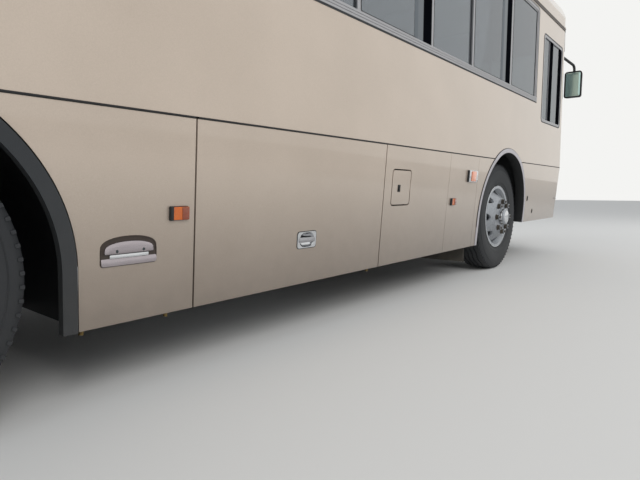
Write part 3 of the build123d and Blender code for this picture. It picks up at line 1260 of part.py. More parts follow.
EMERGENCY_Z = (EMERGENCY_BOTTOM_Z, EMERGENCY_TOP_Z)
EMERGENCY_PANE_X = (EMERGENCY_X[0] + 70.0, EMERGENCY_X[1] - 70.0)
EMERGENCY_PANE_Z = (SILL_Z + 30.0, BAND_TOP_Z - 110.0)
with BuildPart() as emergency_door:
    add(side_skin(RIGHT, EMERGENCY_X, EMERGENCY_Z[0], EMERGENCY_Z[1], WALL))
    cut_window(RIGHT, EMERGENCY_PANE_X, EMERGENCY_PANE_Z, WINDOW_R)
    bead_x = EMERGENCY_X[1] + PANEL_GAP / 2
    for low in (EMERGENCY_Z[0] + BEAD_FROM_END, EMERGENCY_Z[1] - BEAD_FROM_END - BEAD_L):
        bead_ends = [(bead_x, RIGHT * HALF, z) for z in (low, low + BEAD_L)]
        leaf_at = (EMERGENCY_X[1] - 3, RIGHT * (HALF - 3), low + BEAD_L / 2)
        add(hinge_bead(*bead_ends, PANEL_GAP, leaf_at))
finish(emergency_door, "emergency_door")
with BuildPart() as emergency_glass:
    with BuildSketch(side_plane(RIGHT, GLASS_INSET)) as pane:
        with Locations(frame_centre(EMERGENCY_PANE_X, EMERGENCY_PANE_Z)):
            RectangleRounded(
                EMERGENCY_PANE_X[1] - EMERGENCY_PANE_X[0],
                EMERGENCY_PANE_Z[1] - EMERGENCY_PANE_Z[0],
                WINDOW_R,
            )
    extrude(pane.sketch, amount=RIGHT * GLASS_T)
finish(emergency_glass, "emergency_glass")

# Engine with its gearbox, and the fuel tank, under the floor
ENGINE_X = (TAIL_X + 420.0, TAIL_X + 1650.0)
with BuildPart() as engine_block:
    engine_y = RAIL_Y - RAIL_W / 2 - 30.0
    block(ENGINE_X, (-engine_y, engine_y), (ENGINE_BOTTOM_Z, RAIL_TOP_Z - CROSS_T - 10.0))
    mount_y = RAIL_Y + RAIL_W / 2 - CHANNEL_T - RUN_GAP
    mount_z = (RAIL_BOTTOM_Z + CHANNEL_T + RUN_GAP, RAIL_BOTTOM_Z + 90)
    for mount_x in (ENGINE_X[0] + 200.0, ENGINE_X[1] - 200.0):
        block((mount_x - 50, mount_x + 50), (-mount_y, mount_y), mount_z)
finish(engine_block, "engine_block")

with BuildPart() as fuel_tank:
    tank_x = (BAY_X[1] + 60.0, BAY_X[1] + 860.0)
    tank_y = (-HALF + TUCK + SKIRT_T + 60.0, -RAIL_Y - 60.0)
    block(tank_x, tank_y, (390.0, RAIL_TOP_Z))
    fillet(fuel_tank.edges().filter_by(Axis.X), 60.0)
    with Locations(Location(((FUEL_X[0] + FUEL_X[1]) / 2, tank_y[0], FUEL_LID_Z), (90, 0, 0))):
        Cylinder(45.0, 60.0)
finish(fuel_tank, "fuel_tank")

# Exhaust: a silencer slung from the left rail with a tailpipe turned down at the rear
SILENCER_D = 260.0
SILENCER_L = 700.0
SILENCER_Z = 520.0
PIPE_D = 80.0
PIPE_DROP_X = TAIL_X + 170.0
with BuildPart() as exhaust:
    silencer_x = ENGINE_X[0] + SILENCER_L / 2
    silencer_y = RAIL_Y + RAIL_W / 2 + SILENCER_D / 2 + 60.0
    with Locations(Location((silencer_x, silencer_y, SILENCER_Z), (0, 90, 0))):
        Cylinder(SILENCER_D / 2, SILENCER_L)
    with BuildLine() as route:
        FilletPolyline(
            (silencer_x, silencer_y, SILENCER_Z),
            (PIPE_DROP_X, silencer_y, SILENCER_Z),
            (PIPE_DROP_X, silencer_y, REAR_SKIRT_Z - PIPE_D),
            radius=PIPE_D,
        )
    with BuildSketch(Plane(origin=route.line @ 0, z_dir=route.line % 0)):
        Circle(PIPE_D / 2)
    sweep(path=route.line)
    for strap_x in (silencer_x - SILENCER_L / 3, silencer_x + SILENCER_L / 3):
        strap_y = (RAIL_Y + RAIL_W / 2, silencer_y)
        block((strap_x - 20.0, strap_x + 20.0), strap_y, (RAIL_BOTTOM_Z + 20.0, RAIL_BOTTOM_Z + 60.0))
        strap_y = (silencer_y - 20.0, silencer_y + 20.0)
        block((strap_x - 20.0, strap_x + 20.0), strap_y, (SILENCER_Z, RAIL_BOTTOM_Z + 60.0))
finish(exhaust, "exhaust")

# Air tanks: two across the left side, hung from the floor ahead of the luggage bay
AIR_TANK_D = 230.0
AIR_TANK_L = 620.0
with BuildPart() as air_tanks:
    for number in range(2):
        tank_at = BAY_X[1] + 220.0 + number * (AIR_TANK_D + 60.0)
        tank_y = RAIL_Y + RAIL_W / 2 + 40.0 + AIR_TANK_L / 2
        tank_z = RAIL_BOTTOM_Z - 60.0
        with BuildPart(mode=Mode.PRIVATE) as tank:
            with Locations(Location((tank_at, tank_y, tank_z), (90, 0, 0))):
                Cylinder(AIR_TANK_D / 2, AIR_TANK_L)
            fillet(tank.edges().filter_by(GeomType.CIRCLE), AIR_TANK_D / 5)
            for hanger_y in (tank_y - AIR_TANK_L / 4, tank_y + AIR_TANK_L / 4):
                hanger = (hanger_y - 20.0, hanger_y + 20.0)
                block((tank_at - 15.0, tank_at + 15.0), hanger, (tank_z, RAIL_TOP_Z))
        add(tank.part)
finish(air_tanks, "air_tanks")

# Mud flaps behind the wheels, hung from the housings' legs
FLAP_T = 8.0
FLAP_H = 330.0
with BuildPart() as mud_flaps:
    flaps = (
        (FRONT_ARCH_X - FRONT_HOUSING_R - HOUSING_T, FRONT_SKIRT_Z + 40.0, FRONT_HOUSING_Y + 160.0),
        (REAR_ARCH_X - REAR_HOUSING_R - HOUSING_T, REAR_SKIRT_Z + 60.0, REAR_HOUSING_Y),
    )
    for side in SIDES:
        for flap_x, top_z, inner_y in flaps:
            flap_y = (side * inner_y, side * (HOUSING_OUTER_Y - WALL))
            block((flap_x - FLAP_T, flap_x), flap_y, (top_z - FLAP_H, top_z))
finish(mud_flaps, "mud_flaps")

# Luggage racks over the seats: a shelf with a turned-up lip on each side
RACK_D = 420.0
RACK_T = 22.0
RACK_LIP_H = 90.0
RACK_Z = BAND_TOP_Z + 10.0
RACK_X = (TAIL_SEAM_X + 150.0, from_axle(-560.0))
with BuildPart() as luggage_racks:
    for side in SIDES:
        back_y = DECK_Y - RUN_GAP
        lip_y = back_y - RACK_D
        outline = (
            (back_y, RACK_Z),
            (lip_y + RACK_T, RACK_Z),
            (lip_y, RACK_Z + RACK_T),
            (lip_y, RACK_Z + RACK_LIP_H),
            (lip_y + RACK_T, RACK_Z + RACK_LIP_H),
            (lip_y + RACK_T, RACK_Z + RACK_T),
            (back_y, RACK_Z + RACK_T),
        )
        with BuildSketch(Plane.YZ.offset(RACK_X[0])):
            Polygon(*[(side * y, z) for y, z in outline], align=None)
        extrude(amount=RACK_X[1] - RACK_X[0])
finish(luggage_racks, "luggage_racks")

# Grab rails: a pole at the front of each rack and a guard behind the stepwell
POLE_D = 32.0
POLE_Y = DECK_Y - RACK_D + 60.0
GUARD_H = 850.0
with BuildPart() as grab_rails:
    for side in SIDES:
        pole_z = (FLOOR_Z + RUN_GAP, RACK_Z - RUN_GAP)
        with Locations((RACK_X[1] - 2 * POLE_D, side * POLE_Y, (pole_z[0] + pole_z[1]) / 2)):
            Cylinder(POLE_D / 2, pole_z[1] - pole_z[0])
    guard_x = RACK_X[1] - 2 * POLE_D
    with BuildPart(mode=Mode.PRIVATE) as guard:
        with BuildLine() as route:
            FilletPolyline(
                (guard_x, STEPWELL_Y - 2 * POLE_D, FLOOR_Z + RUN_GAP),
                (guard_x, STEPWELL_Y - 2 * POLE_D, FLOOR_Z + GUARD_H),
                (guard_x, POLE_Y - POLE_D / 2 - RUN_GAP, FLOOR_Z + GUARD_H),
                radius=4 * POLE_D,
            )
        with BuildSketch(Plane(origin=route.line @ 0, z_dir=route.line % 0)):
            Circle(POLE_D / 2)
        sweep(path=route.line)
    add(guard.part)
finish(grab_rails, "grab_rails")

# Seats: rows of pairs on both sides of the aisle, a bench at the back, the driver's seat
SEAT_Y = DECK_Y - 20.0 - SEAT_W / 2
SEAT_X = [from_axle(SEAT_FIRST_BACK + SEAT_PITCH * row) for row in range(SEAT_ROWS)]
DRIVER_SEAT = (from_axle(-1010.0), -SEAT_Y + 60.0)
# x, y, width, floor height and the side that the pedestal stands on
SEATS = [(x, side * SEAT_Y, SEAT_W, FLOOR_Z, side) for x in SEAT_X for side in SIDES]
SEATS += [(DRIVER_SEAT[0], DRIVER_SEAT[1], 520.0, PLATFORM_Z, 0)]
SHELL_T = 20.0
LEAN = 0.16
PEDESTAL_L = 260.0
PEDESTAL_T = 60.0
PEDESTAL_IN = 90.0
TRAY_SHARE = 0.42


def leaning(y_range, foot_x, low, high, thick):
    """A slab that leans back as it rises, drawn from the side."""
    back = LEAN * (high - low)
    with BuildPart() as slab:
        with BuildSketch(Plane.XZ.offset(-y_range[0])):
            Polygon(
                (foot_x, low), (foot_x - back, high), (foot_x - back - thick, high), (foot_x - thick, low),
                align=None,
            )
        extrude(amount=y_range[0] - y_range[1])
    return slab.part


with BuildPart() as seat_frames:
    for x, y, width, floor_z, wall_side in SEATS:
        tray_z = floor_z + SEAT_CUSHION_Z
        rear_x = x - SEAT_DEPTH / 2 - SEAT_BACK_T - 2 * RUN_GAP
        tray_y = (y - TRAY_SHARE * width, y + TRAY_SHARE * width)
        with BuildPart(mode=Mode.PRIVATE) as seat:
            block((rear_x - SHELL_T, x + TRAY_SHARE * SEAT_DEPTH), tray_y, (tray_z - SHELL_T, tray_z))
            add(leaning(tray_y, rear_x, tray_z - SHELL_T, tray_z + SEAT_SHELL_H, SHELL_T))
            leg_y = y - wall_side * (width / 2 - PEDESTAL_IN)
            pedestal = (leg_y - PEDESTAL_T / 2, leg_y + PEDESTAL_T / 2)
            block((x - PEDESTAL_L / 2, x + PEDESTAL_L / 2), pedestal, (floor_z, tray_z - SHELL_T))
        add(seat.part)
finish(seat_frames, "seat_frames")

with BuildPart() as seat_cushions:
    for x, y, width, floor_z, wall_side in SEATS:
        cushion_z = floor_z + SEAT_CUSHION_Z + RUN_GAP
        seat_y = (y - width / 2, y + width / 2)
        block((x - SEAT_DEPTH / 2, x + SEAT_DEPTH / 2), seat_y, (cushion_z, cushion_z + SEAT_CUSHION_T))
        foot_x = x - SEAT_DEPTH / 2 - RUN_GAP
        add(leaning(seat_y, foot_x, cushion_z, cushion_z + SEAT_BACK_H, SEAT_BACK_T))
finish(seat_cushions, "seat_cushions")

# Dashboard: a moulded profile with the driver's binnacle, steering column and wheel
DASH_X = (NOSE_X - NOSE_BOW - 420.0, NOSE_X - NOSE_BOW - 120.0)
DASH_TOP_Z = SCREEN_BOTTOM_Z - 30.0
BINNACLE_W = 620.0
BINNACLE_UP = 70.0
STEER_D = 430.0
STEER_TILT = 35.0
COLUMN_D = 56.0
COLUMN_L = 440.0
with BuildPart() as dashboard:
    with BuildSketch(Plane.XZ.offset(HALF - WALL - 120.0)):
        Polygon(
            (DASH_X[1], PLATFORM_Z), (DASH_X[1], DASH_TOP_Z), (DASH_X[0] + 140.0, DASH_TOP_Z),
            (DASH_X[0], DASH_TOP_Z - 110.0), (DASH_X[0] + 30.0, DASH_TOP_Z - 190.0),
            (DASH_X[0] + 100.0, PLATFORM_Z),
            align=None,
        )
    extrude(amount=-(HALF - WALL - 120.0 + STEPWELL_Y - 50.0))
    driver_y = DRIVER_SEAT[1]
    with BuildSketch(Plane.XZ.offset(-driver_y + BINNACLE_W / 2)):
        Polygon(
            (DASH_X[0] + 200.0, DASH_TOP_Z), (DASH_X[0] + 160.0, DASH_TOP_Z + BINNACLE_UP),
            (DASH_X[0] + 40.0, DASH_TOP_Z + BINNACLE_UP), (DASH_X[0] + 60.0, DASH_TOP_Z - 80.0),
            align=None,
        )
    extrude(amount=-BINNACLE_W)
    wheel_at = (DASH_X[0] - 170.0, driver_y, PLATFORM_Z + 700.0)
    with Locations(Location(wheel_at, (0, -STEER_TILT, 0))):
        Torus(STEER_D / 2, 14.0)
        Cylinder(40.0, 40.0)
        Box(STEER_D, 30.0, 14.0)
        with Locations((0, 0, -COLUMN_L / 2)):
            Cylinder(COLUMN_D / 2, COLUMN_L)
finish(dashboard, "dashboard")

# Headlamps: a thin lens over a housing with two bowls
LENS_T = 6.0
LAMP_DEEP = 38.0
BOWL_D = 136.0
BOWL_SINK = 26.0
BOWL_R = (BOWL_D ** 2 / 4 + BOWL_SINK ** 2) / (2 * BOWL_SINK)
LAMP_MIDDLE_Z = (HEADLAMP_Z[0] + HEADLAMP_Z[1]) / 2
BOWL_Y = [LAMP_X_Y[0] + (LAMP_X_Y[1] - LAMP_X_Y[0]) * share for share in (0.27, 0.73)]
for name, inset, thick in (("headlamps", 4.0, LENS_T), ("headlamp_housings", 4.0 + LENS_T + RUN_GAP, LAMP_DEEP)):
    with BuildPart() as lamps:
        for side in SIDES:
            lamp_y = [side * edge for edge in LAMP_X_Y]
            with BuildPart(mode=Mode.PRIVATE) as lamp:
                add(end_shell(inset, thick, BUMPER_TOP_Z, BELT_Z))
                block((MASK_X, NOSE_X), (min(lamp_y), max(lamp_y)), HEADLAMP_Z, Mode.INTERSECT)
                if name == "headlamp_housings":
                    for bowl_y in BOWL_Y:
                        face_x = lamp.faces().filter_by(Axis.X, reverse=True).sort_by(Axis.X)[-1].center().X
                        with Locations((face_x - BOWL_SINK + BOWL_R, side * bowl_y, LAMP_MIDDLE_Z)):
                            Sphere(BOWL_R, mode=Mode.SUBTRACT)
            add(lamp.part)
    finish(lamps, name)

with BuildPart() as rear_lamps:
    for side in SIDES:
        lamp_y = [side * edge for edge in REAR_LAMP_Y]
        for low, high in ((REAR_LAMP_Z[0], BELT_Z), (BELT_Z, REAR_LAMP_Z[1])):
            with BuildPart(mode=Mode.PRIVATE) as lens:
                add(end_shell(2.0, WALL - 10.0, low, high))
                block((TAIL_X, TAIL_SEAM_X), (min(lamp_y), max(lamp_y)), (low, high), Mode.INTERSECT)
            add(lens.part)
finish(rear_lamps, "rear_lamps")

MARKERS = ((from_axle(3670.0), MARKER_Z), (from_axle(1185.0), MARKER_Z), (from_axle(865.0), 876.0))


def marker(side, x, z):
    """One side marker standing out of the skin."""
    reach = (x - MARKER_W / 2, x + MARKER_W / 2)
    return side_skin(side, reach, z - MARKER_H / 2, z + MARKER_H / 2, MARKER_PROUD, MARKER_PROUD)


with BuildPart() as side_lamps:
    for side in SIDES:
        for x, z in MARKERS[1:]:
            add(marker(side, x, z))
    add(marker(LEFT, *MARKERS[0]))
    lamp_x = [from_axle(-ahead) for ahead in CORNER_LAMP_AHEAD]
    for side in SIDES:
        with BuildPart(mode=Mode.PRIVATE) as corner:
            add(end_shell(-CORNER_LAMP_PROUD, CORNER_LAMP_PROUD, BELT_Z, DRIP_Z, NOSE_X - NOSE_RAKE))
            block(lamp_x, (0, side * WIDTH), CORNER_LAMP_Z, Mode.INTERSECT)
        add(corner.part)
finish(side_lamps, "side_lamps")

with BuildPart() as service_marker:
    add(marker(RIGHT, *MARKERS[0]))
finish(service_marker, "service_marker")

# Mirrors: rounded heads on arms from feet at the roof's front corners
with BuildPart() as mirrors:
    for side in SIDES:
        head_y = side * (HALF + MIRROR_OUT - MIRROR_W / 2)
        head_x = NOSE_X + MIRROR_REACH - MIRROR_T / 2
        top = MIRROR_Z + MIRROR_H / 2
        foot = (NOSE_X - NOSE_RAKE - NOSE_BOW, side * (HALF - NOSE_CORNER_R / 2), top + ARM_RISE)
        with BuildPart(mode=Mode.PRIVATE) as head:
            with BuildSketch(Plane.YZ.offset(head_x - MIRROR_T / 2)):
                with Locations((head_y, MIRROR_Z)):
                    RectangleRounded(MIRROR_W, MIRROR_H, MIRROR_R)
            extrude(amount=MIRROR_T, taper=MIRROR_TAPER)
            fillet(head.faces().sort_by(Axis.X)[-1].edges(), MIRROR_R / 2)
            with BuildLine() as route:
                FilletPolyline(
                    (head_x, head_y, top - MIRROR_R),
                    (head_x, head_y, top + ARM_RISE / 2),
                    (foot[0] + NOSE_BOW / 2, foot[1], foot[2]),
                    foot,
                    radius=ARM_BEND_R,
                )
            with BuildSketch(Plane(origin=route.line @ 0, z_dir=route.line % 0)):
                Circle(ARM_D / 2)
            sweep(path=route.line)
            with Locations((foot[0] + NOSE_BOW / 4, foot[1], foot[2])):
                Box(NOSE_BOW, 2 * ARM_D, 3 * ARM_D)
            add(body_solid(BELT_Z, DRIP_Z, -RUN_GAP, NOSE_X - NOSE_RAKE), mode=Mode.SUBTRACT)
        add(head.part.solids().sort_by(Axis.X)[-1])
finish(mirrors, "mirrors")

# Air conditioner on the roof: a tapered cover with an intake grille on each side
AIRCON_X = (REAR_AXLE_X + 150.0, REAR_AXLE_X + 2250.0)
AIRCON_W = (1700.0, 1480.0)
AIRCON_TAPER = 110.0
AIRCON_UP = 185.0
AIRCON_FOOT_Z = ROOF_Z - ROOF_CROWN
AIRCON_SLATS = 6
AIRCON_SLAT_PITCH = 22.0
with BuildPart() as roof_aircon:
    middle_x = (AIRCON_X[0] + AIRCON_X[1]) / 2
    length = AIRCON_X[1] - AIRCON_X[0]
    sizes = ((AIRCON_FOOT_Z, length, AIRCON_W[0]), (ROOF_Z + AIRCON_UP, length - 2 * AIRCON_TAPER, AIRCON_W[1]))
    levels = []
    for level, long, wide in sizes:
        with BuildSketch(Plane.XY.offset(level)) as outline:
            with Locations((middle_x, 0)):
                RectangleRounded(long, wide, AIRCON_TAPER)
        levels.append(outline.sketch)
    loft(levels, ruled=True)
    fillet(roof_aircon.faces().sort_by(Axis.Z)[-1].edges(), AIRCON_TAPER / 3)
    for side in SIDES:
        for number in range(AIRCON_SLATS):
            slat_z = ROOF_Z + AIRCON_UP / 4 + number * AIRCON_SLAT_PITCH
            slat_y = (side * AIRCON_W[1] / 2, side * AIRCON_W[0] / 2)
            slat_x = (AIRCON_X[0] + 3 * AIRCON_TAPER, AIRCON_X[1] - 3 * AIRCON_TAPER)
            block(slat_x, slat_y, (slat_z, slat_z + AIRCON_SLAT_PITCH / 2), Mode.SUBTRACT)
    add(crown(0), mode=Mode.SUBTRACT)
finish(roof_aircon, "roof_aircon")
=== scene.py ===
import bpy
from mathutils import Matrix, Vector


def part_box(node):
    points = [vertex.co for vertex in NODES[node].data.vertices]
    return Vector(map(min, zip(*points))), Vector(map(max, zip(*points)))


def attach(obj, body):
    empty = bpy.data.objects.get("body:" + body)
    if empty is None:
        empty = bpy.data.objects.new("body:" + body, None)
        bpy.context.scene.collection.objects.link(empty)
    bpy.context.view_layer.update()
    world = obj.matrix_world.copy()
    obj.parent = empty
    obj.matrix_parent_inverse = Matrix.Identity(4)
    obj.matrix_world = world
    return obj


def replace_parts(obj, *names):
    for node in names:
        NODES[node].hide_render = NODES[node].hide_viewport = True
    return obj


bl_info = {
    "name": "Coach Bus Dressing",
    "version": (1, 0, 0),
    "blender": (4, 5, 0),
    "location": "View3D > Sidebar > Coach",
    "description": "Dresses the packed coach with its finishes, trim, tyres, glass and seats",
    "category": "Object",
}

import math

import bmesh
import bpy
from mathutils import Matrix, Vector

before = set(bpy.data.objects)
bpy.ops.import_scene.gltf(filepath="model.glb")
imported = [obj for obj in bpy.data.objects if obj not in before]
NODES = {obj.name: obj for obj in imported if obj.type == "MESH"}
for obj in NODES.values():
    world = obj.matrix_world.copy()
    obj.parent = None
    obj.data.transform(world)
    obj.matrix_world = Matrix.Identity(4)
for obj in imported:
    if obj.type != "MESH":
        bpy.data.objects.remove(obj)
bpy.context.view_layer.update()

# Places on the coach, in metres, read from the frame where it has them
HALF = 1.245
AXLE_X = sum(corner.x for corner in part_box("tyre_front_right")) / 2
REAR_X = sum(corner.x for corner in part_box("tyres_rear_right")) / 2
AXLE_Z = sum(corner.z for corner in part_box("tyre_front_right")) / 2
FRONT_OVERHANG = 2.2
REAR_OVERHANG = 2.42
NOSE_X = AXLE_X + FRONT_OVERHANG
TAIL_X = REAR_X - REAR_OVERHANG
BELT_Z = 1.037
SKIRT_Z = 0.283
TUCK = 0.06
SILL_Z = 1.69
BAND_TOP_Z = 2.635
DRIP_Z = 2.683
BUMPER_TOP_Z = 0.665
MASK_X = NOSE_X - 0.48
TAIL_SEAM_X = TAIL_X + 0.33
NOSE_BOW = 0.2
NOSE_CORNER = 0.25
NOSE_RAKE = 0.06
TAIL_BOW = 0.06
TAIL_CORNER = 0.2
HINGE_Z = BELT_Z + 0.0045
# Heights of the black strip in the belt groove: painted shade of the groove
BELT_SHADE_STRIP = (BELT_Z + 0.0005, BELT_Z + 0.0085)
DRIP_STRIP = (DRIP_Z - 0.031, DRIP_Z - 0.0002)
PILLAR_W = 0.115
PILLAR_PITCH = 1.57
FIRST_PILLAR = 0.145
BAND_FRONT = -0.757
BAND_REAR_RIGHT = 5.66
FRAME_W = 0.032
SASH_W = 0.034
SASH_FROM_W = 1.0
PANE_Z = (1.739, 2.586)
SIDES = (-1, 1)
SIDE_NAME = {-1: "right", 1: "left"}
LOWER_BODY = {-1: "luggage_lid_right", 1: "luggage_lid_left"}


def back(distance):
    """X of a place given as a distance back from the front axle."""
    return AXLE_X - distance


def bowed(y, bow, corner):
    """How far a bowed end with rounded corners has curved back at a distance from the middle."""
    radius = (HALF**2 + bow**2) / (2 * bow)
    centre_y = HALF - corner
    if abs(y) <= centre_y * radius / (radius - corner):
        return radius - math.sqrt(radius**2 - y**2)
    centre_x = radius - math.sqrt((radius - corner) ** 2 - centre_y**2)
    return centre_x - math.sqrt(max(0, corner**2 - (abs(y) - centre_y) ** 2))


def end_at(end, y, z, out=0):
    """A point on the nose (end 1) or the tail (end -1), set out from it along the coach."""
    if end > 0:
        lean = NOSE_RAKE * max(0, z - BELT_Z) / (DRIP_Z - BELT_Z)
        return Vector((NOSE_X - lean - bowed(y, NOSE_BOW, NOSE_CORNER) + out, y, z))
    return Vector((TAIL_X + bowed(y, TAIL_BOW, TAIL_CORNER) - out, y, z))


def girdle(end, z, out=0):
    """Points round one end from its right seam to its left one, at one height, set out from the skin."""
    corner = NOSE_CORNER if end > 0 else TAIL_CORNER
    turns = [math.sin(math.pi / 2 * step / 8) for step in range(9)]
    across = [HALF - corner + corner * turn for turn in reversed(turns)]
    middle = [(HALF - corner) * step / 6 for step in range(-5, 6)]
    ys = [-y for y in across] + middle + across[::-1]
    narrow = 1 - TUCK * max(0, BELT_Z - z) / (BELT_Z - SKIRT_Z) / HALF
    seam = MASK_X if end > 0 else TAIL_SEAM_X
    skin = [Vector((seam, -HALF, z)), *(end_at(end, y, z) for y in ys), Vector((seam, HALF, z))]
    points = []
    for i, point in enumerate(skin):
        tangent = (skin[min(i + 1, len(skin) - 1)] - skin[max(i - 1, 0)]).normalized()
        outward = end * Vector((tangent.y, -tangent.x, 0))
        points.append(Vector((point.x, point.y * narrow, z)) + out * outward)
    return points


def window_units(side):
    """The X range of each window in the band on one side, from the front."""
    pillars = [FIRST_PILLAR + PILLAR_PITCH * number for number in range(5)]
    units = [(back(pillars[0] - PILLAR_W / 2), back(BAND_FRONT))]
    units += [(back(pillars[n + 1] - PILLAR_W / 2), back(pillars[n] + PILLAR_W / 2)) for n in range(3)]
    rear = back(BAND_REAR_RIGHT - PILLAR_W) if side < 0 else back(pillars[4] - PILLAR_W / 2)
    return units + [(rear, back(pillars[3] + PILLAR_W / 2))]


def window_panes(low, high):
    """The openings of one window's sashes, as (low x, high x, how deep the sash stands)."""
    middle = (low + high) / 2
    if high - low < SASH_FROM_W:
        return [(low + FRAME_W + SASH_W, high - FRAME_W - SASH_W, 0.004)]
    front = (middle + SASH_W / 2, high - FRAME_W - SASH_W, 0.004)
    rear = (low + FRAME_W + SASH_W, middle - SASH_W / 2, 0.0163)
    return [front, rear]


# Materials


def linear(code):
    """Linear colour from an sRGB hex code."""
    code = code.lstrip("#")
    parts = [int(code[i : i + 2], 16) / 255 for i in (0, 2, 4)]
    return (*[c / 12.92 if c <= 0.04045 else ((c + 0.055) / 1.055) ** 2.4 for c in parts], 1.0)


def add_node(tree, kind, inputs=None, **settings):
    """One node with its attributes and its inputs, each a value or the socket that feeds it."""
    node = tree.nodes.new(kind)
    for key, value in settings.items():
        setattr(node, key, value)
    for key, value in (inputs or {}).items():
        if isinstance(value, bpy.types.NodeSocket):
            tree.links.new(value, node.inputs[key])
        else:
            node.inputs[key].default_value = value
    return node


def surface(name, shader_values):
    """A new material's tree and shader, with the shader's own sockets set."""
    material = bpy.data.materials.new(name)
    material.use_nodes = True
    tree = material.node_tree
    shader = tree.nodes["Principled BSDF"]
    for key, value in shader_values.items():
        shader.inputs[key.replace("_", " ")].default_value = value
    return material, tree, shader


def overlay(tree, shader, amount, code):
    """Lay one more colour over the base colour, as much of it as the socket says."""
    base = shader.inputs["Base Color"]
    layers = {"Factor": amount, "A": base.links[0].from_socket, "B": linear(code)}
    mix = add_node(tree, "ShaderNodeMix", layers, data_type="RGBA")
    tree.links.new(mix.outputs["Result"], base)


def lay_dust_and_reflection(tree, shader, place, dust_and_reflection, top, amount, patches=0.5):
    """A colour that fades out with height, broken up by fine noise: road dust on most finishes, a painted
    reflection of the ground on the body paint.
    """
    height = add_node(tree, "ShaderNodeSeparateXYZ", {"Vector": place}).outputs["Z"]
    ranges = {"Value": height, "From Min": top, "From Max": 0.1, "To Min": 0, "To Max": amount}
    fade = add_node(tree, "ShaderNodeMapRange", ranges)
    spots = add_node(tree, "ShaderNodeTexNoise", {"Vector": place, "Scale": 14, "Detail": 6})
    ranges = {"Value": spots.outputs["Fac"], "To Min": 1 - patches, "To Max": 1 + patches}
    uneven = add_node(tree, "ShaderNodeMapRange", ranges)
    factors = {0: fade.outputs["Result"], 1: uneven.outputs["Result"]}
    mask = add_node(tree, "ShaderNodeMath", factors, operation="MULTIPLY", use_clamp=True)
    overlay(tree, shader, mask.outputs[0], dust_and_reflection)


def woven(tree, shader, place, code):
    """A small fleck of another yarn, woven in at every 30 mm."""
    fleck = {"Vector": place, "Scale": 32, "Randomness": 0.35}
    fleck = add_node(tree, "ShaderNodeTexVoronoi", fleck, distance="MANHATTAN").outputs["Distance"]
    ranges = {"Value": fleck, "From Min": 0.2, "From Max": 0.14, "To Min": 0, "To Max": 0.8}
    mask = add_node(tree, "ShaderNodeMapRange", ranges)
    overlay(tree, shader, mask.outputs["Result"], code)


def mottled(
    name, tones, grain, rough, bump=0, wave=0, stretch=(1, 1, 1), ribs=(), dust_and_reflection=(), yarn="", **shader_values
):
    """A material of two tones broken up at a real grain size in metres, with roughness and relief from it."""
    material, tree, shader = surface(name, shader_values)
    place = add_node(tree, "ShaderNodeTexCoord").outputs["Object"]
    scaled = add_node(tree, "ShaderNodeMapping", {"Vector": place, "Scale": stretch}).outputs[0]
    noise = {"Vector": scaled, "Scale": 1 / grain, "Detail": 4, "Roughness": 0.6}
    grit = add_node(tree, "ShaderNodeTexNoise", noise).outputs["Fac"]
    noise = {"Vector": scaled, "Scale": 1.7, "Detail": 5, "Roughness": 0.55}
    clouds = add_node(tree, "ShaderNodeTexNoise", noise).outputs["Fac"]
    both = add_node(tree, "ShaderNodeMath", {0: grit, 1: 0.5}, operation="MULTIPLY").outputs[0]
    both = {0: clouds, 1: 0.5, 2: both}
    both = add_node(tree, "ShaderNodeMath", both, operation="MULTIPLY_ADD").outputs[0]
    ramp = add_node(tree, "ShaderNodeValToRGB", {"Fac": both})
    for stop, position, tone in zip(ramp.color_ramp.elements, (0.36, 0.64), tones.split()):
        stop.position = position
        stop.color = linear(tone)
    tree.links.new(ramp.outputs["Color"], shader.inputs["Base Color"])
    ranges = {"Value": both, "From Min": 0.3, "From Max": 0.7, "To Min": rough[0], "To Max": rough[1]}
    spread = add_node(tree, "ShaderNodeMapRange", ranges)
    tree.links.new(spread.outputs["Result"], shader.inputs["Roughness"])
    reliefs = []
    if wave:
        swell = add_node(tree, "ShaderNodeTexNoise", {"Vector": place, "Scale": 2.6, "Detail": 1})
        reliefs.append((swell.outputs["Fac"], 1, wave))
    if bump:
        reliefs.append((grit, 0.6, bump))
    if ribs:
        axis, rate, depth = ribs
        bands = {"Vector": place, "Scale": rate, "Distortion": 0}
        bands = add_node(tree, "ShaderNodeTexWave", bands, bands_direction=axis)
        reliefs.append((bands.outputs["Fac"], 0.5, depth))
    below = {}
    for height, strength, depth in reliefs:
        relief = {"Height": height, "Strength": strength, "Distance": depth, **below}
        below = {"Normal": add_node(tree, "ShaderNodeBump", relief).outputs["Normal"]}
    if below:
        tree.links.new(below["Normal"], shader.inputs["Normal"])
    if dust_and_reflection:
        lay_dust_and_reflection(tree, shader, place, *dust_and_reflection)
    if yarn:
        woven(tree, shader, place, yarn)
    return material


def painted_steel():
    """Sprayed metallic enamel under clear lacquer: a warm beige with faint waves in its reflections, darkened
    brownish towards the bottom as a painted reflection of the ground.
    """
    colours = bpy.context.scene.coach_colours
    tones = f"{colours.paint_dark} {colours.paint_light}"
    lacquer = {"Metallic": 0.35, "Coat_Weight": 1, "Coat_Roughness": 0.03, "Specular_IOR_Level": 0.5}
    # Painted reflection of the ground: a brownish tone laid over the paint, stronger towards the bottom
    dust_and_reflection = ("#655B52", 0.88, 0.95, 0.1)
    return mottled("champagne_metallic_enamel", tones, 0.004, (0.3, 0.38), wave=0.0012, dust_and_reflection=dust_and_reflection, **lacquer)


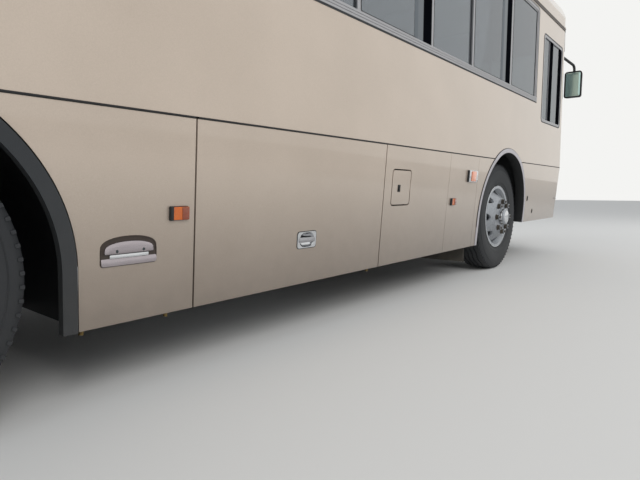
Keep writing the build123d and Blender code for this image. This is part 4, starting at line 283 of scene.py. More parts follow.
def tinted_glass(name, tint, bend):
    """Toughened float glass with a body tint: dark from outside, clear enough to see the seats."""
    glass = {"IOR": bend, "Transmission_Weight": 0.92, "Base_Color": linear(tint), "Roughness": 0}
    material, tree, shader = surface(name, {**glass, "Specular_Tint": linear("#E8EEF6")})
    place = add_node(tree, "ShaderNodeTexCoord").outputs["Object"]
    swell = add_node(tree, "ShaderNodeTexNoise", {"Vector": place, "Scale": 1.4, "Detail": 0})
    relief = {"Height": swell.outputs["Fac"], "Strength": 1, "Distance": 0.0006}
    relief = add_node(tree, "ShaderNodeBump", relief)
    tree.links.new(relief.outputs["Normal"], shader.inputs["Normal"])
    return material


def coloured_lens(name, tones, axis):
    """Moulded coloured acrylic: deep colour, glossy, with fine prism ribs 4 mm apart."""
    acrylic = {"IOR": 1.49, "Coat_Weight": 0.7, "Subsurface_Weight": 0.15}
    return mottled(name, tones, 0.01, (0.12, 0.22), ribs=(axis, 40, 0.0008), **acrylic)


# Each with its name, its two tones, its grain, the range of its roughness, and its relief and dust; on the
# body paint the dust is a painted reflection of the ground
FINISHES = {
    "paint": painted_steel,
    # Extruded and anodised aluminium: soft grey with fine lines along the extrusion
    "aluminium": lambda: mottled(
        *("anodised_aluminium", "#A2A2A5 #B6B6B9", 0.003, (0.32, 0.45), 0.00015),
        stretch=(0.05, 1, 1),
        Metallic=1,
    ),
    # Chromium plate over pressed steel: a bright mirror with a few fine pits
    "chrome": lambda: mottled(
        "chromium_plate", "#C9CBCE #E2E4E6", 0.004, (0.06, 0.14), wave=0.0006, Metallic=1
    ),
    # Moulded ABS with a fine spark-eroded grain
    "plastic": lambda: mottled("black_abs", "#141517 #1E2022", 0.003, (0.45, 0.6), 0.0003, IOR=1.5),
    # Satin black enamel on the window pillars
    "pillar": lambda: mottled(
        *("black_pillar_enamel", "#06070A #0B0C10", 0.004, (0.3, 0.45)),
        wave=0.0004,
        IOR=1.5,
        Specular_IOR_Level=0,
    ),
    # Glass printed black on its inner face, along the edge that is bonded to a pillar
    "printed": lambda: mottled(
        "printed_glass_edge", "#15181A #1B1E20", 0.02, (0, 0.02), IOR=2.5, Specular_Tint=linear("#DCE8F4")
    ),
    # Vacuum-plated reflector behind the headlamp lens
    "reflector": lambda: mottled("plated_reflector", "#B9BCBF #D3D6D8", 0.01, (0.12, 0.22), Metallic=1),
    # Satin chrome of the pull: brushed along its length, and tinted a little rosy as a painted reflection of
    # the paint beside it
    "plated": lambda: mottled(
        "satin_chrome", "#A9A1A5 #B5ADB0", 0.004, (0.2, 0.28), stretch=(0.1, 1, 1), Metallic=0.9
    ),
    # Flange round the front wheel arches: its body colour painted a lighter silver-grey, a painted highlight
    "lip": lambda: mottled("arch_flange_highlight", "#AFABB0 #C2BFC3", 0.006, (0.3, 0.45), 0.0001, Metallic=0.6),
    # Extruded EPDM rubber, dulled by weather
    "rubber": lambda: mottled(
        "epdm_rubber", "#1B1E21 #272B2F", 0.004, (0.5, 0.7), 0.0004, dust_and_reflection=("#5A5752", 1.1, 0.2), IOR=1.52
    ),
    # Vulcanised tyre rubber, greyed by road dust in the grain
    "tyre": lambda: mottled(
        "tyre_rubber", "#15181C #202327", 0.006, (0.55, 0.75), 0.0008, dust_and_reflection=("#4E4C4A", 1.2, 0.14), IOR=1.52
    ),
    # Wheel enamel with aluminium flake
    "wheel": lambda: mottled(
        "silver_wheel_enamel", "#8E9196 #B3B7BB", 0.012, (0.32, 0.5), 0.0002, Metallic=0.55, Coat_Weight=0.3
    ),
    # Brushed-on chassis black over steel, with road dust and a little rust
    "chassis": lambda: mottled(
        "chassis_black", "#1B1C1E #2C2A28", 0.02, (0.55, 0.85), 0.0012, dust_and_reflection=("#5E564C", 1.2, 0.7), IOR=1.5
    ),
    # Grey stoved paint on pressed sheet steel
    "lining": lambda: mottled("grey_stove_enamel", "#6C6E70 #7E8082", 0.01, (0.5, 0.65), 0.0004, IOR=1.5),
    # Sand-cast iron under engine enamel
    "cast": lambda: mottled("painted_cast_iron", "#2E3638 #454C4E", 0.015, (0.5, 0.75), 0.002, Metallic=0.3),
    # Ribbed vinyl sheet: speckled grey with fore-and-aft ribs 10 mm apart
    "vinyl": lambda: mottled(
        "ribbed_vinyl", "#4C4D50 #626366", 0.008, (0.5, 0.7), ribs=("Y", 16, 0.001), IOR=1.5
    ),
    # Cut-pile wool moquette: navy with a small woven fleck, and a soft sheen from the pile
    "cloth": lambda: mottled(
        *("wool_moquette", "#1E2A45 #2C3C60", 0.005, (0.85, 0.95), 0.0012),
        yarn="#8C7A4E",
        Sheen_Weight=0.35,
        Sheen_Roughness=0.5,
        IOR=1.45,
    ),
    "glass": lambda: tinted_glass("tinted_side_glass", "#4E565A", 2.7),
    "screen": lambda: tinted_glass("clear_screen_glass", "#A9B8B4", 1.7),
    # Moulded clear polycarbonate with fine upright flutes
    "lens": lambda: mottled(
        *("clear_polycarbonate", "#DCE0E2 #EEF0F1", 0.01, (0.05, 0.12)),
        ribs=("Y", 22, 0.001),
        IOR=1.58,
        Transmission_Weight=0.85,
    ),
    "amber": lambda: coloured_lens("amber_acrylic", "#B45000 #CC6200", "X"),
    "orange": lambda: coloured_lens("deep_orange_acrylic", "#743014 #8A3E1A", "X"),
    "red": lambda: coloured_lens("red_acrylic", "#7E0E0C #9C1512", "Y"),
    "blush": lambda: coloured_lens("faded_orange_acrylic", "#DE8A6C #EBA083", "Z"),
    # Gel-coated glass fibre of the roof unit: chalky off-white
    "gelcoat": lambda: mottled(
        "gelcoat_fibreglass", "#C2B8AB #CFC6BA", 0.02, (0.35, 0.5), wave=0.001, IOR=1.5, Coat_Weight=0.2
    ),
    # Reinforced rubber sheet of the mud flaps, splashed from below
    "flap": lambda: mottled(
        "sheet_rubber", "#1C1E20 #2A2C2E", 0.01, (0.65, 0.85), 0.0008, dust_and_reflection=("#6B6459", 0.7, 0.6), IOR=1.52
    ),
    # Hot-dip aluminised sheet steel, dulled and browned by heat
    "exhaust": lambda: mottled(
        "aluminised_steel", "#5F5A55 #84807B", 0.03, (0.4, 0.65), 0.0005, Metallic=0.9
    ),
    # Black polyurethane sealant in the seams; in the belt groove and on the hinge sleeves the same black is
    # painted shade of the groove
    "dark": lambda: mottled("sealant_and_groove_shade", "#0E0F10 #17181A", 0.006, (0.5, 0.7), IOR=1.5),
    # Drawn brass of the drain pipes and valves, tarnished
    "brass": lambda: mottled("tarnished_brass", "#6E5C3A #8C774C", 0.004, (0.35, 0.6), Metallic=0.9),
    # Brown-black PVC strip below the roof, faded by the sun; the same finish is painted shade on the dish of
    # the service door's pull and a painted reflection down the front corners
    "umber": lambda: mottled("umber_pvc_shade_and_reflection", "#2B221C #3B3029", 0.01, (0.35, 0.5), 0.0002, IOR=1.5),
    # Silvered mirror glass
    "mirror": lambda: mottled("silvered_glass", "#BFDDD7 #CDE6E1", 0.02, (0.14, 0.2), Metallic=0.8),
}


# A slot named for each finish; nothing here gives it to a piece
SLOTS = {
    **dict.fromkeys(("rubber", "dark", "umber"), "rubber"),
    **dict.fromkeys(("plastic", "pillar", "printed"), "black_plastic"),
    **dict.fromkeys(("aluminium", "chrome", "plated", "cast"), "aluminium"),
    **dict.fromkeys(("amber", "orange", "blush"), "amber_lens"),
    **dict.fromkeys(("brass", "chassis"), "black_steel"),
    **{"tyre": "tyre", "lens": "clear_lens", "mirror": "tinted_glass"},
}


def finish_of(name):
    """The named finish, made once."""
    scene = bpy.context.scene
    key = f"coach_{name}"
    if key not in scene:
        scene[key] = FINISHES[name]().name
    return bpy.data.materials[scene[key]]


# Shapes


def axes(x, y, z, origin):
    """A matrix from its three axes and its origin."""
    return Matrix([[column[row] for column in (x, y, z, origin)] for row in range(3)] + [[0, 0, 0, 1]])


def facing(spot, direction):
    """A frame at a spot with its z axis along a direction."""
    return Matrix.Translation(spot) @ Vector(direction).to_track_quat("Z", "Y").to_matrix().to_4x4()


def skin_frame(side, x, z, out=0):
    """Local frame on a side panel: x forward, y up along the panel, z straight out of it."""
    lean = TUCK / (BELT_Z - SKIRT_Z) if z < BELT_Z else 0
    y = side * (HALF - lean * (BELT_Z - z) + out)
    up = Vector((0, side * lean, 1)).normalized()
    return axes((1, 0, 0), up, Vector((0, side, -lean)).normalized(), (x, y, z))


def on(place):
    """Places points (across, up, out) in a local frame."""
    return lambda u, v, level: place @ Vector((u, v, level))


def side_face(side, half=HALF):
    """Places points (X, Z, out) on the upright plane of a side."""
    return lambda u, v, level: Vector((u, side * (half + level), v))


def end_place(end, y, z):
    """Places points (across, up, out) on the nose or the tail."""
    return lambda u, v, level: end_at(end, y + u, z + v, level)


def nose_corner(side, x, z, out=0):
    """A point on one of the nose's rounded corners, found by its distance along the coach."""
    low, high = 0.8, HALF
    for _ in range(30):
        y = (low + high) / 2
        low, high = (y, high) if end_at(1, y, z).x > x else (low, y)
    return Vector((x + 0.6 * out, side * (low + 0.8 * out), z))


def rounded_outline(width, height, radius, steps=5):
    """Points round a rounded rectangle centred on the origin."""
    radius = min(radius, width / 2 - 1e-5, height / 2 - 1e-5)
    points = []
    for quarter, (sx, sy) in enumerate(((1, 1), (-1, 1), (-1, -1), (1, -1))):
        for step in range(steps + 1):
            angle = math.pi / 2 * (quarter + step / steps)
            x = sx * (width / 2 - radius) + radius * math.cos(angle)
            y = sy * (height / 2 - radius) + radius * math.sin(angle)
            points.append((x, y))
    return points


def divided(outline, count):
    """An outline with its four straight edges cut into equal lengths."""
    points = []
    quarter = len(outline) // 4
    for i, (x, y) in enumerate(outline):
        points.append((x, y))
        if i % quarter == quarter - 1:
            to_x, to_y = outline[(i + 1) % len(outline)]
            points += [(x + (to_x - x) * k / count, y + (to_y - y) * k / count) for k in range(1, count)]
    return points


def domed(half_w, low, foot, crown):
    """The pull's outline: an arch over a straight foot with its two lower corners cut."""
    arch = []
    for step in range(17):
        turn = math.pi * step / 16
        arch.append((half_w * math.cos(turn), foot + (crown - foot) * math.sin(turn) ** 0.6))
    cut = min(0.01, 0.6 * (foot - low))
    corner = [(half_w - cut, low), (half_w - 0.3 * cut, low + 0.3 * cut), (half_w, low + cut)]
    return corner + arch + [(-x, y) for x, y in reversed(corner)]


def add_loops(bm, loops, cap_start=True, cap_end=True, closed=True):
    """Join rings of points with quads; each ring has the same number of points."""
    rings = [[bm.verts.new(point) for point in loop] for loop in loops]
    for low, high in zip(rings, rings[1:]):
        count = len(low)
        for i in range(count if closed else count - 1):
            j = (i + 1) % count
            bm.faces.new((low[i], low[j], high[j], high[i]))
    if cap_start:
        bm.faces.new(rings[0][::-1])
    if cap_end:
        bm.faces.new(rings[-1])


def add_rings(bm, place, rings, cap_start=True, steps=5):
    """Rounded rectangles of (width, height, radius, level), joined one to the next."""
    loops = []
    for *size, level in rings:
        loops.append([on(place)(x, y, level) for x, y in rounded_outline(*size, steps)])
    add_loops(bm, loops, cap_start)


def add_slab(bm, outline, low, high, place, rim):
    """An outline thickened between two heights, with a small rounded rim on its upper edge."""
    centre = Vector((*map(sum, zip(*outline)), 0)) / len(outline)
    loops = []
    for level, inset in ((low, 0), (high - rim, 0), (high - 0.3 * rim, 0.3 * rim), (high, rim)):
        loop = []
        for x, y in outline:
            offset = Vector((x, y, 0)) - centre
            length = max(offset.length, 1e-6)
            point = centre + offset * ((length - inset) / length)
            loop.append(place @ Vector((point.x, point.y, level)))
        loops.append(loop)
    add_loops(bm, loops)


def add_plate(bm, place, size, low, high, rim):
    """A rounded plate of (width, height, radius) between two heights, with a rounded rim."""
    add_slab(bm, rounded_outline(*size), low, high, place, rim)


def add_frame(bm, at, width, height, radius, profile, fine=None):
    """A frame round a rounded rectangle, from a closed profile of (inset, height) that at() places."""
    loops = []
    for inset, level in (*profile, profile[0]):
        outline = rounded_outline(width - 2 * inset, height - 2 * inset, max(radius - inset, 0.002))
        if fine:
            outline = divided(outline, fine)
        loops.append([at(x, y, level) for x, y in outline])
    add_loops(bm, loops, False, False)


def add_surround(bm, face, xs, zs, radius, profile):
    """A frame round an opening between two X and two Z, on the plane that face() places."""
    middle = Vector((sum(xs) / 2, 0, sum(zs) / 2))
    size = (xs[1] - xs[0], zs[1] - zs[0])
    add_frame(bm, lambda u, v, level: face(u, v, level) + middle, *size, radius, profile)


def add_band(bm, end, heights, outs):
    """A strip round one end between two heights, from one distance out of the skin to another."""
    corners = ((heights[0], outs[0]), (heights[0], outs[1]), (heights[1], outs[1]), (heights[1], outs[0]))
    runs = [girdle(end, z, out) for z, out in corners]
    add_loops(bm, list(zip(*runs)))


def add_lathe(bm, profile, place, steps, closed=True):
    """A profile of (radius, distance) turned about the local z axis."""
    columns = []
    for step in range(steps):
        turn = 2 * math.pi * step / steps
        columns.append([place @ Vector((r * math.cos(turn), r * math.sin(turn), h)) for r, h in profile])
    add_loops(bm, columns + columns[:1], False, False, closed)


def add_box(bm, low, high):
    """A plain box between two corners."""
    xs, ys, zs = zip(low, high)
    outline = ((xs[0], ys[0]), (xs[1], ys[0]), (xs[1], ys[1]), (xs[0], ys[1]))
    add_loops(bm, [[(x, y, z) for x, y in outline] for z in zs])


def add_strip(bm, side, xs, zs, levels):
    """A box on a side between two X, two Z and two distances out of its upright plane."""
    ys = sorted(side * (HALF + level) for level in levels)
    add_box(bm, (xs[0], ys[0], zs[0]), (xs[1], ys[1], zs[1]))


def add_tube(bm, points, radius, sides=10, closed=False):
    """A round bar that follows points."""
    points = [Vector(point) for point in points]
    count = len(points)
    turns = [2 * math.pi * number / sides for number in range(sides)]
    loops = []
    normal = None
    for i, point in enumerate(points):
        ahead = points[(i + 1) % count] if closed or i + 1 < count else point
        behind = points[i - 1] if closed or i > 0 else point
        tangent = (ahead - behind).normalized()
        if normal is None:
            normal = tangent.orthogonal().normalized()
        normal = (normal - tangent * normal.dot(tangent)).normalized()
        binormal = tangent.cross(normal)
        around = [normal * math.cos(turn) + binormal * math.sin(turn) for turn in turns]
        loops.append([point + radius * away for away in around])
    if closed:
        loops.append(loops[0])
    add_loops(bm, loops, not closed, not closed)


def smooth_path(points):
    """A rounded path through points, by Catmull-Rom."""
    points = [Vector(point) for point in points]
    padded = [points[0], *points, points[-1]]
    path = []
    for a, b, c, d in zip(padded, padded[1:], padded[2:], padded[3:]):
        for step in range(6):
            t = step / 6
            bend = (2 * a - 5 * b + 4 * c - d) * t * t + (3 * b - a - 3 * c + d) * t**3
            path.append(0.5 * (2 * b + (c - a) * t + bend))
    return path + points[-1:]


def linked(name, data):
    """A new object of the data, in the scene."""
    obj = bpy.data.objects.new(name, data)
    bpy.context.scene.collection.objects.link(obj)
    return obj


def built(name, bm):
    """A new object of the mesh in progress, which is cleared for the next one."""
    mesh = bpy.data.meshes.new(name)
    bm.to_mesh(mesh)
    bm.clear()
    return linked(name, mesh)


def piece(name, bm, finish, body="chassis", bevel=0, angle=35):
    """Turn the mesh in progress into a finished piece that rides on its body."""
    bmesh.ops.remove_doubles(bm, verts=bm.verts, dist=1e-5)
    bmesh.ops.recalc_face_normals(bm, faces=bm.faces)
    for edge in bm.edges:
        edge.smooth = len(edge.link_faces) == 2 and edge.calc_face_angle(0) < math.radians(angle)
    for face in bm.faces:
        face.smooth = True
    obj = built(name, bm)
    obj.data.materials.append(finish_of(finish))
    if bevel:
        modifier = obj.modifiers.new("edges", "BEVEL")
        modifier.width = bevel
        modifier.segments = 2
        modifier.limit_method = "ANGLE"
        modifier.angle_limit = math.radians(40)
        modifier.harden_normals = False
    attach(obj, body)
    return obj


def plain_mesh(obj):
    """Replace an object's mesh by its evaluated result and drop the modifiers."""
    depsgraph = bpy.context.evaluated_depsgraph_get()
    mesh = bpy.data.meshes.new_from_object(obj.evaluated_get(depsgraph))
    obj.modifiers.clear()
    obj.data = mesh
    return obj


def ring_tree(name, finish):
    """Geometry Nodes that repeat a piece round a ring, with its count, step and centre as inputs."""
    tree = bpy.data.node_groups.new(name, "GeometryNodeTree")
    for title, kind in (("Geometry", "Geometry"), ("Count", "Int"), ("Step", "Vector"), ("Centre", "Vector")):
        tree.interface.new_socket(title, in_out="INPUT", socket_type=f"NodeSocket{kind}")
    tree.interface.new_socket("Geometry", in_out="OUTPUT", socket_type="NodeSocketGeometry")
    entry = add_node(tree, "NodeGroupInput").outputs
    points = add_node(tree, "GeometryNodePoints", {"Count": entry["Count"]})
    index = add_node(tree, "GeometryNodeInputIndex")
    turn = {0: entry["Step"], "Scale": index.outputs[0]}
    turn = add_node(tree, "ShaderNodeVectorMath", turn, operation="SCALE")
    inputs = {"Points": points.outputs[0], "Instance": entry["Geometry"]}
    copies = add_node(tree, "GeometryNodeInstanceOnPoints", inputs)
    inputs = {"Instances": copies.outputs[0], "Rotation": turn.outputs[0], "Pivot Point": entry["Centre"]}
    turned = add_node(tree, "GeometryNodeRotateInstances", {**inputs, "Local Space": False})
    real = add_node(tree, "GeometryNodeRealizeInstances", {"Geometry": turned.outputs[0]})
    inputs = {"Geometry": real.outputs[0], "Material": finish_of(finish)}
    coloured = add_node(tree, "GeometryNodeSetMaterial", inputs)
    add_node(tree, "NodeGroupOutput", {"Geometry": coloured.outputs[0]})
    return tree


def ringed(name, bm, finish, body, count, centre):
    """A piece made of copies round an axle through a centre."""
    obj = piece(name, bm, finish, body)
    modifier = obj.modifiers.new("layout", "NODES")
    modifier.node_group = ring_tree(f"{name}_layout", finish)
    values = {"Count": count, "Step": (0, 2 * math.pi / count, 0), "Centre": centre}
    for item in modifier.node_group.interface.items_tree:
        if item.in_out == "INPUT" and item.name in values:
            modifier[item.identifier] = values[item.name]
    return plain_mesh(obj)


# Settings


class CoachSizes(bpy.types.PropertyGroup):
    tread_depth: bpy.props.FloatProperty(
        name="Tread depth", description="Depth of the tyre grooves", default=0.012, unit="LENGTH"
    )
    groove_width: bpy.props.FloatProperty(
        name="Groove width", description="Width of a tyre groove", default=0.011, unit="LENGTH"
    )
    nut_size: bpy.props.FloatProperty(
        name="Wheel nut", description="Width of a wheel nut across its flats", default=0.041, unit="LENGTH"
    )
    seal_width: bpy.props.FloatProperty(
        name="Window seal", description="Width of the rubber round a pane", default=0.007, unit="LENGTH"
    )
    wiper_length: bpy.props.FloatProperty(
        name="Wiper blade", description="Length of a wiper blade", default=0.85, unit="LENGTH"
    )


class CoachColours(bpy.types.PropertyGroup):
    paint_light: bpy.props.StringProperty(
        name="Paint, light", description="Light tone of the body paint, as sRGB hex", default="#C0B1A2"
    )
    paint_dark: bpy.props.StringProperty(
        name="Paint, dark", description="Dark tone of the body paint, as sRGB hex", default="#B5A697"
    )
    floor: bpy.props.StringProperty(
        name="Studio floor", description="Colour of the studio floor, as sRGB hex", default="#D6D5D2"
    )


NODE_FINISH = {
    "paint": (
        "wall_right wall_left skirt_right skirt_left roof front_mask rear_panel front_bumper rear_bumper "
        "luggage_door_right luggage_door_left service_door fuel_lid emergency_door engine_lid"
    ),
    "aluminium": "window_frames entrance_leaf_front entrance_leaf_rear grab_rails",
    "glass": "side_glass emergency_glass rear_glass entrance_glass_front entrance_glass_rear",
    "screen": "windscreen",
    "rubber": "rear_arch_rubbers",
    "plastic": "wheel_housings dashboard mirrors seat_frames",
    "flap": "mud_flaps",
    "vinyl": "floor_deck",
    "chassis": (
        "chassis_frame front_axle rear_axle knuckle_left knuckle_right fuel_tank air_tanks propeller_shaft"
    ),
    "lining": "luggage_bay luggage_racks",
    "wheel": "wheel_front_left wheel_front_right wheels_rear_left wheels_rear_right",
    "tyre": "tyre_front_left tyre_front_right tyres_rear_left tyres_rear_right",
    "cast": "engine_block",
    "exhaust": "exhaust",
    "cloth": "seat_cushions",
    "lens": "headlamps",
    "reflector": "headlamp_housings",
    "lip": "front_arch_lips",
    "red": "rear_lamps",
    "amber": "side_lamps service_marker",
    "gelcoat": "roof_aircon",
}


class COACH_OT_finishes(bpy.types.Operator):
    """Give every solid of the frame its finish"""

    bl_idname = "coach.finishes"
    bl_label = "Finishes"

    def execute(self, context):
        finishes = {name: finish for finish, names in NODE_FINISH.items() for name in names.split()}
        for name, obj in NODES.items():
            obj.data.materials.clear()
            obj.data.materials.append(finish_of(finishes[name]))
        return {"FINISHED"}


# Node, body, axle, side and how far out each tyre's middle stands
TYRES = (
    ("tyre_front_right", "front_wheel_right", AXLE_X, -1, (1.035,)),
    ("tyre_front_left", "front_wheel_left", AXLE_X, 1, (1.035,)),
    ("tyres_rear_right", "rear_wheel_right", REAR_X, -1, (1.093, 0.793)),
    ("tyres_rear_left", "rear_wheel_left", REAR_X, 1, (1.093, 0.793)),
)
TREAD_STEPS = 120
SHOULDER_BLOCKS = 72
# A tyre's side from bead to shoulder, as (radius, offset)
SIDEWALL = (
    *((0.2845, 0.0925), (0.3, 0.094), (0.306, 0.109), (0.31, 0.1095), (0.333, 0.1175)),
    *((0.335, 0.1195), (0.338, 0.118), (0.38, 0.1255), (0.42, 0.1268), (0.447, 0.1225)),
    *((0.4495, 0.1245), (0.4525, 0.1215), (0.472, 0.1165), (0.49, 0.108), (0.502, 0.0965)),
)


def tyre_section(turn, depth, groove):
    """Across one tyre from bead to bead, as (radius, offset), with grooves that zigzag round the tread."""
    zig = (0.004, -0.004)[(turn // 3) % 2]
    half = groove / 2
    crown = [(0.086, 0)]
    for place in (0.06, 0.02):
        crown += [(place + half, 0), (place + half - 0.002, depth)]
        crown += [(place - half + 0.002, depth), (place - half, 0)]
    tread = [(0.509 - 0.9 * offset * offset - cut, offset) for offset, cut in crown]
    outer = [*SIDEWALL, *((r, o + zig) for r, o in tread)]
    return outer + [(r, zig - o) for r, o in reversed(tread)] + [(r, -o) for r, o in reversed(SIDEWALL)]


class COACH_OT_tyres(bpy.types.Operator):
    """Model the tyres with their tread, shoulder blocks and sidewall rings"""

    bl_idname = "coach.tyres"
    bl_label = "Tyres"

    def execute(self, context):
        bm = bmesh.new()
        sizes = context.scene.coach_sizes
        for node, body, axle_x, side, centres in TYRES:
            for centre in centres:
                columns = []
                for turn in range(TREAD_STEPS):
                    angle = 2 * math.pi * turn / TREAD_STEPS
                    wide, tall, y = math.sin(angle), math.cos(angle), side * centre
                    section = tyre_section(turn, sizes.tread_depth, sizes.groove_width)
                    columns.append([(axle_x + r * wide, y + o, AXLE_Z + r * tall) for r, o in section])
                add_loops(bm, columns + columns[:1], False, False)
            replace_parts(piece(f"{node}_tread", bm, "tyre", body, angle=28), node)
            for number, centre in enumerate(centres):
                for edge in (-1, 1):
                    y = side * centre + edge * 0.1045
                    low = (axle_x - 0.006, y - 0.008, AXLE_Z + 0.484)
                    add_box(bm, low, (axle_x + 0.006, y + 0.008, AXLE_Z + 0.4985))
                name = f"{node}_shoulder_{number}"
                ringed(name, bm, "tyre", body, SHOULDER_BLOCKS, (axle_x, 0, AXLE_Z))
        return {"FINISHED"}


# Body, axle, side, and how far out the disc, the hub and the rim's edge stand
WHEELS = (
    ("front_wheel_right", AXLE_X, -1, 1.1875, 1.2355, 1.1425),
    ("front_wheel_left", AXLE_X, 1, 1.1875, 1.2355, 1.1425),
    ("rear_wheel_right", REAR_X, -1, 0.959, 1.163, 1.2005),
    ("rear_wheel_left", REAR_X, 1, 0.959, 1.163, 1.2005),
)
STUDS = 8
STUD_RADIUS = 0.1425


class COACH_OT_wheel_trim(bpy.types.Operator):
    """Add the wheel nuts, the stud ends, the hub cap and the rim's edge"""

    bl_idname = "coach.wheel_trim"
    bl_label = "Wheel trim"

    def execute(self, context):
        bm = bmesh.new()
        corner = context.scene.coach_sizes.nut_size * 0.56
        hexagon = [(corner * math.cos(math.pi * k / 3), corner * math.sin(math.pi * k / 3)) for k in range(6)]
        washer = ((0, 0), (0.026, 0), (0.026, 0.004), (0, 0.004))
        thread = ((0, 0.027), (0.0115, 0.027), (0.0115, 0.038), (0.008, 0.042), (0, 0.042))
        cap = (
            *((0, 0.0035), (0.052, 0.0035), (0.066, -0.004), (0.0765, -0.022)),
            *((0.0765, -0.04), (0.0735, -0.04), (0.0735, -0.022), (0, -0.006)),
        )
        edge = (
            *((0.299, 0.001), (0.299, -0.008), (0.297, -0.012)),
            *((0.2945, -0.006), (0.295, 0.002), (0.297, 0.003)),
        )
        for body, axle_x, side, face_y, cap_y, rim_y in WHEELS:
            face = axes((1, 0, 0), (0, 0, 1), (0, side, 0), (axle_x, side * face_y, AXLE_Z))
            stud = face @ Matrix.Translation((STUD_RADIUS, 0, 0))
            add_lathe(bm, washer, stud, 24)
            add_slab(bm, hexagon, 0.004, 0.027, stud, 0.003)
            add_lathe(bm, thread, stud, 16)
            ringed(f"{body}_nuts", bm, "chassis", body, STUDS, (axle_x, 0, AXLE_Z))
            add_lathe(bm, [(r, cap_y - face_y + h) for r, h in cap], face, 48, closed=False)
            piece(f"{body}_hub_cap", bm, "chrome", body, angle=40)
            add_lathe(bm, [(r, rim_y - face_y + h) for r, h in edge], face, 96)
            piece(f"{body}_rim_edge", bm, "chrome", body, angle=40)
        return {"FINISHED"}


# The service door's pull: (half width, lowest line, foot and crown of the arch, level) of each ring
# The dish is a dark plate on the flat door: painted shade standing in for the recess a pull sits in
PULL_SHADE_DISH = (
    (0.115, -0.049, 0, 0.05, 0),
    (0.114, -0.048, 0, 0.049, 0.0022),
    (0.111, -0.046, 0, 0.046, 0.0022),
    (0.11, -0.045, 0, 0.045, 0.0006),
)
PULL_FLAP = (
    (0.1, -0.0085, -0.003, 0.033, 0.0004),
    (0.1, -0.0085, -0.003, 0.033, 0.0035),
    (0.097, -0.0065, -0.002, 0.03, 0.007),
    (0.086, -0.002, 0, 0.022, 0.0095),
)
PULL_AT = (back(3.874), 0.547)
LATCH_AT = (back(2.9), 0.51)
LATCH_BOWL = (
    (0.144, 0.084, 0.015, 0),
    (0.143, 0.083, 0.015, 0.0028),
    (0.112, 0.074, 0.036, 0.0024),
    (0.104, 0.068, 0.033, -0.004),
    (0.084, 0.052, 0.025, -0.012),
)


class COACH_OT_handles(bpy.types.Operator):
    """Add the pull of the service door, the luggage latches and the small latches"""

    bl_idname = "coach.handles"
    bl_label = "Handles"

    def execute(self, context):
        bm = bmesh.new()
        pull = skin_frame(-1, *PULL_AT) @ Matrix.Diagonal((0.95, 1.09, 1, 1))
        name, body = "service_door_pull", "service_lid"
        # The dark dish is painted shade of a recess; the flap and lip over it are satin chrome
        for part, rings, finish, slot_name, angle in (
            ("shade_dish", PULL_SHADE_DISH, "umber", "black_plastic", 50),
            ("flap", PULL_FLAP, "plated", "aluminium", 60),
        ):
            loops = [[on(pull)(x, y, level) for x, y in domed(*shape)] for *shape, level in rings]
            add_loops(bm, loops, cap_start=part == "flap")
            piece(f"{name}_{part}", bm, finish, body, angle=angle)
        rows = ((-0.0475, 0.0015), (-0.046, 0.0045), (-0.038, 0.006), (-0.025, 0.0035), (-0.022, 0.0008))
        cuts = [(-0.112, 0.009), (-0.1095, 0.003), (-0.104, 0)]
        cuts += [(-x, cut) for x, cut in reversed(cuts)]
        low = rows[0][0]
        add_loops(bm, [[on(pull)(x, max(y, cut + low), level) for y, level in rows] for x, cut in cuts])
        piece(f"{name}_lip", bm, "plated", body, angle=50)
        slot_at = pull @ Matrix.Translation((0, -0.016, 0))
        add_plate(bm, slot_at, (0.158, 0.0115, 0.002), 0.0004, 0.0032, 0.0015)
        piece(f"{name}_slot", bm, "chrome", body, angle=50)
        for x in (-0.054, 0.054):
            screw = pull @ Matrix.Translation((x, 0.0015, 0.0085))
            add_lathe(bm, ((0, 0), (0.0052, 0), (0.0052, 0.0016), (0.004, 0.0024), (0, 0.0018)), screw, 16)
        piece(f"{name}_screws", bm, "cast", body)

        for side in SIDES:
            place = skin_frame(side, *LATCH_AT)
            body = LOWER_BODY[side]
            name = f"luggage_latch_{SIDE_NAME[side]}"
            add_rings(bm, place, LATCH_BOWL, cap_start=False)
            piece(f"{name}_bowl", bm, "chrome", body, angle=50)
            add_plate(bm, place, (0.124, 0.024, 0.004), -0.006, 0.0052, 0.0025)
            piece(f"{name}_bar", bm, "aluminium", body, angle=50)
            ring = ((0, 0), (0, 0.0015), (0.003, 0.0015), (0.003, 0))
            add_frame(bm, on(place), 0.15, 0.09, 0.017, ring)
            piece(f"{name}_seal", bm, "rubber", body)

        for name, distance, z, size, body in (
            ("fuel_lid_latch", 2.018, 0.774, (0.03, 0.046), "fuel_flap"),
            ("front_panel_latch", -0.685, 0.675, (0.026, 0.052), "chassis"),
            ("front_panel_catch", -0.9, 0.535, (0.014, 0.048), "chassis"),
        ):
            place = skin_frame(-1, back(distance), z)
            add_plate(bm, place, (*size, 0.004), 0, 0.003, 0.001)
            add_plate(bm, place, (size[0] * 0.45, size[1] * 0.6, 0.003), 0.003, 0.006, 0.001)
            piece(name, bm, "dark", body)
        return {"FINISHED"}


MARKERS_BACK = (3.67, 1.185)
MARKER_Z = 0.673
REPEATER_AT = (back(0.855), 0.876)
# The corner lamps' reach ahead of the front axle, and their foot and top
CORNER_LAMP_X = (1.952, 2.108)
CORNER_LAMP_Z = (1.0465, 1.2385)
HEADLAMP_Z = 0.85
HEADLAMP_PAIR_Y = 0.95
REFLECTORS_Y = (-1.0305, -0.8695, 0.8695, 1.0305)
REAR_LAMP_Y = 1.025


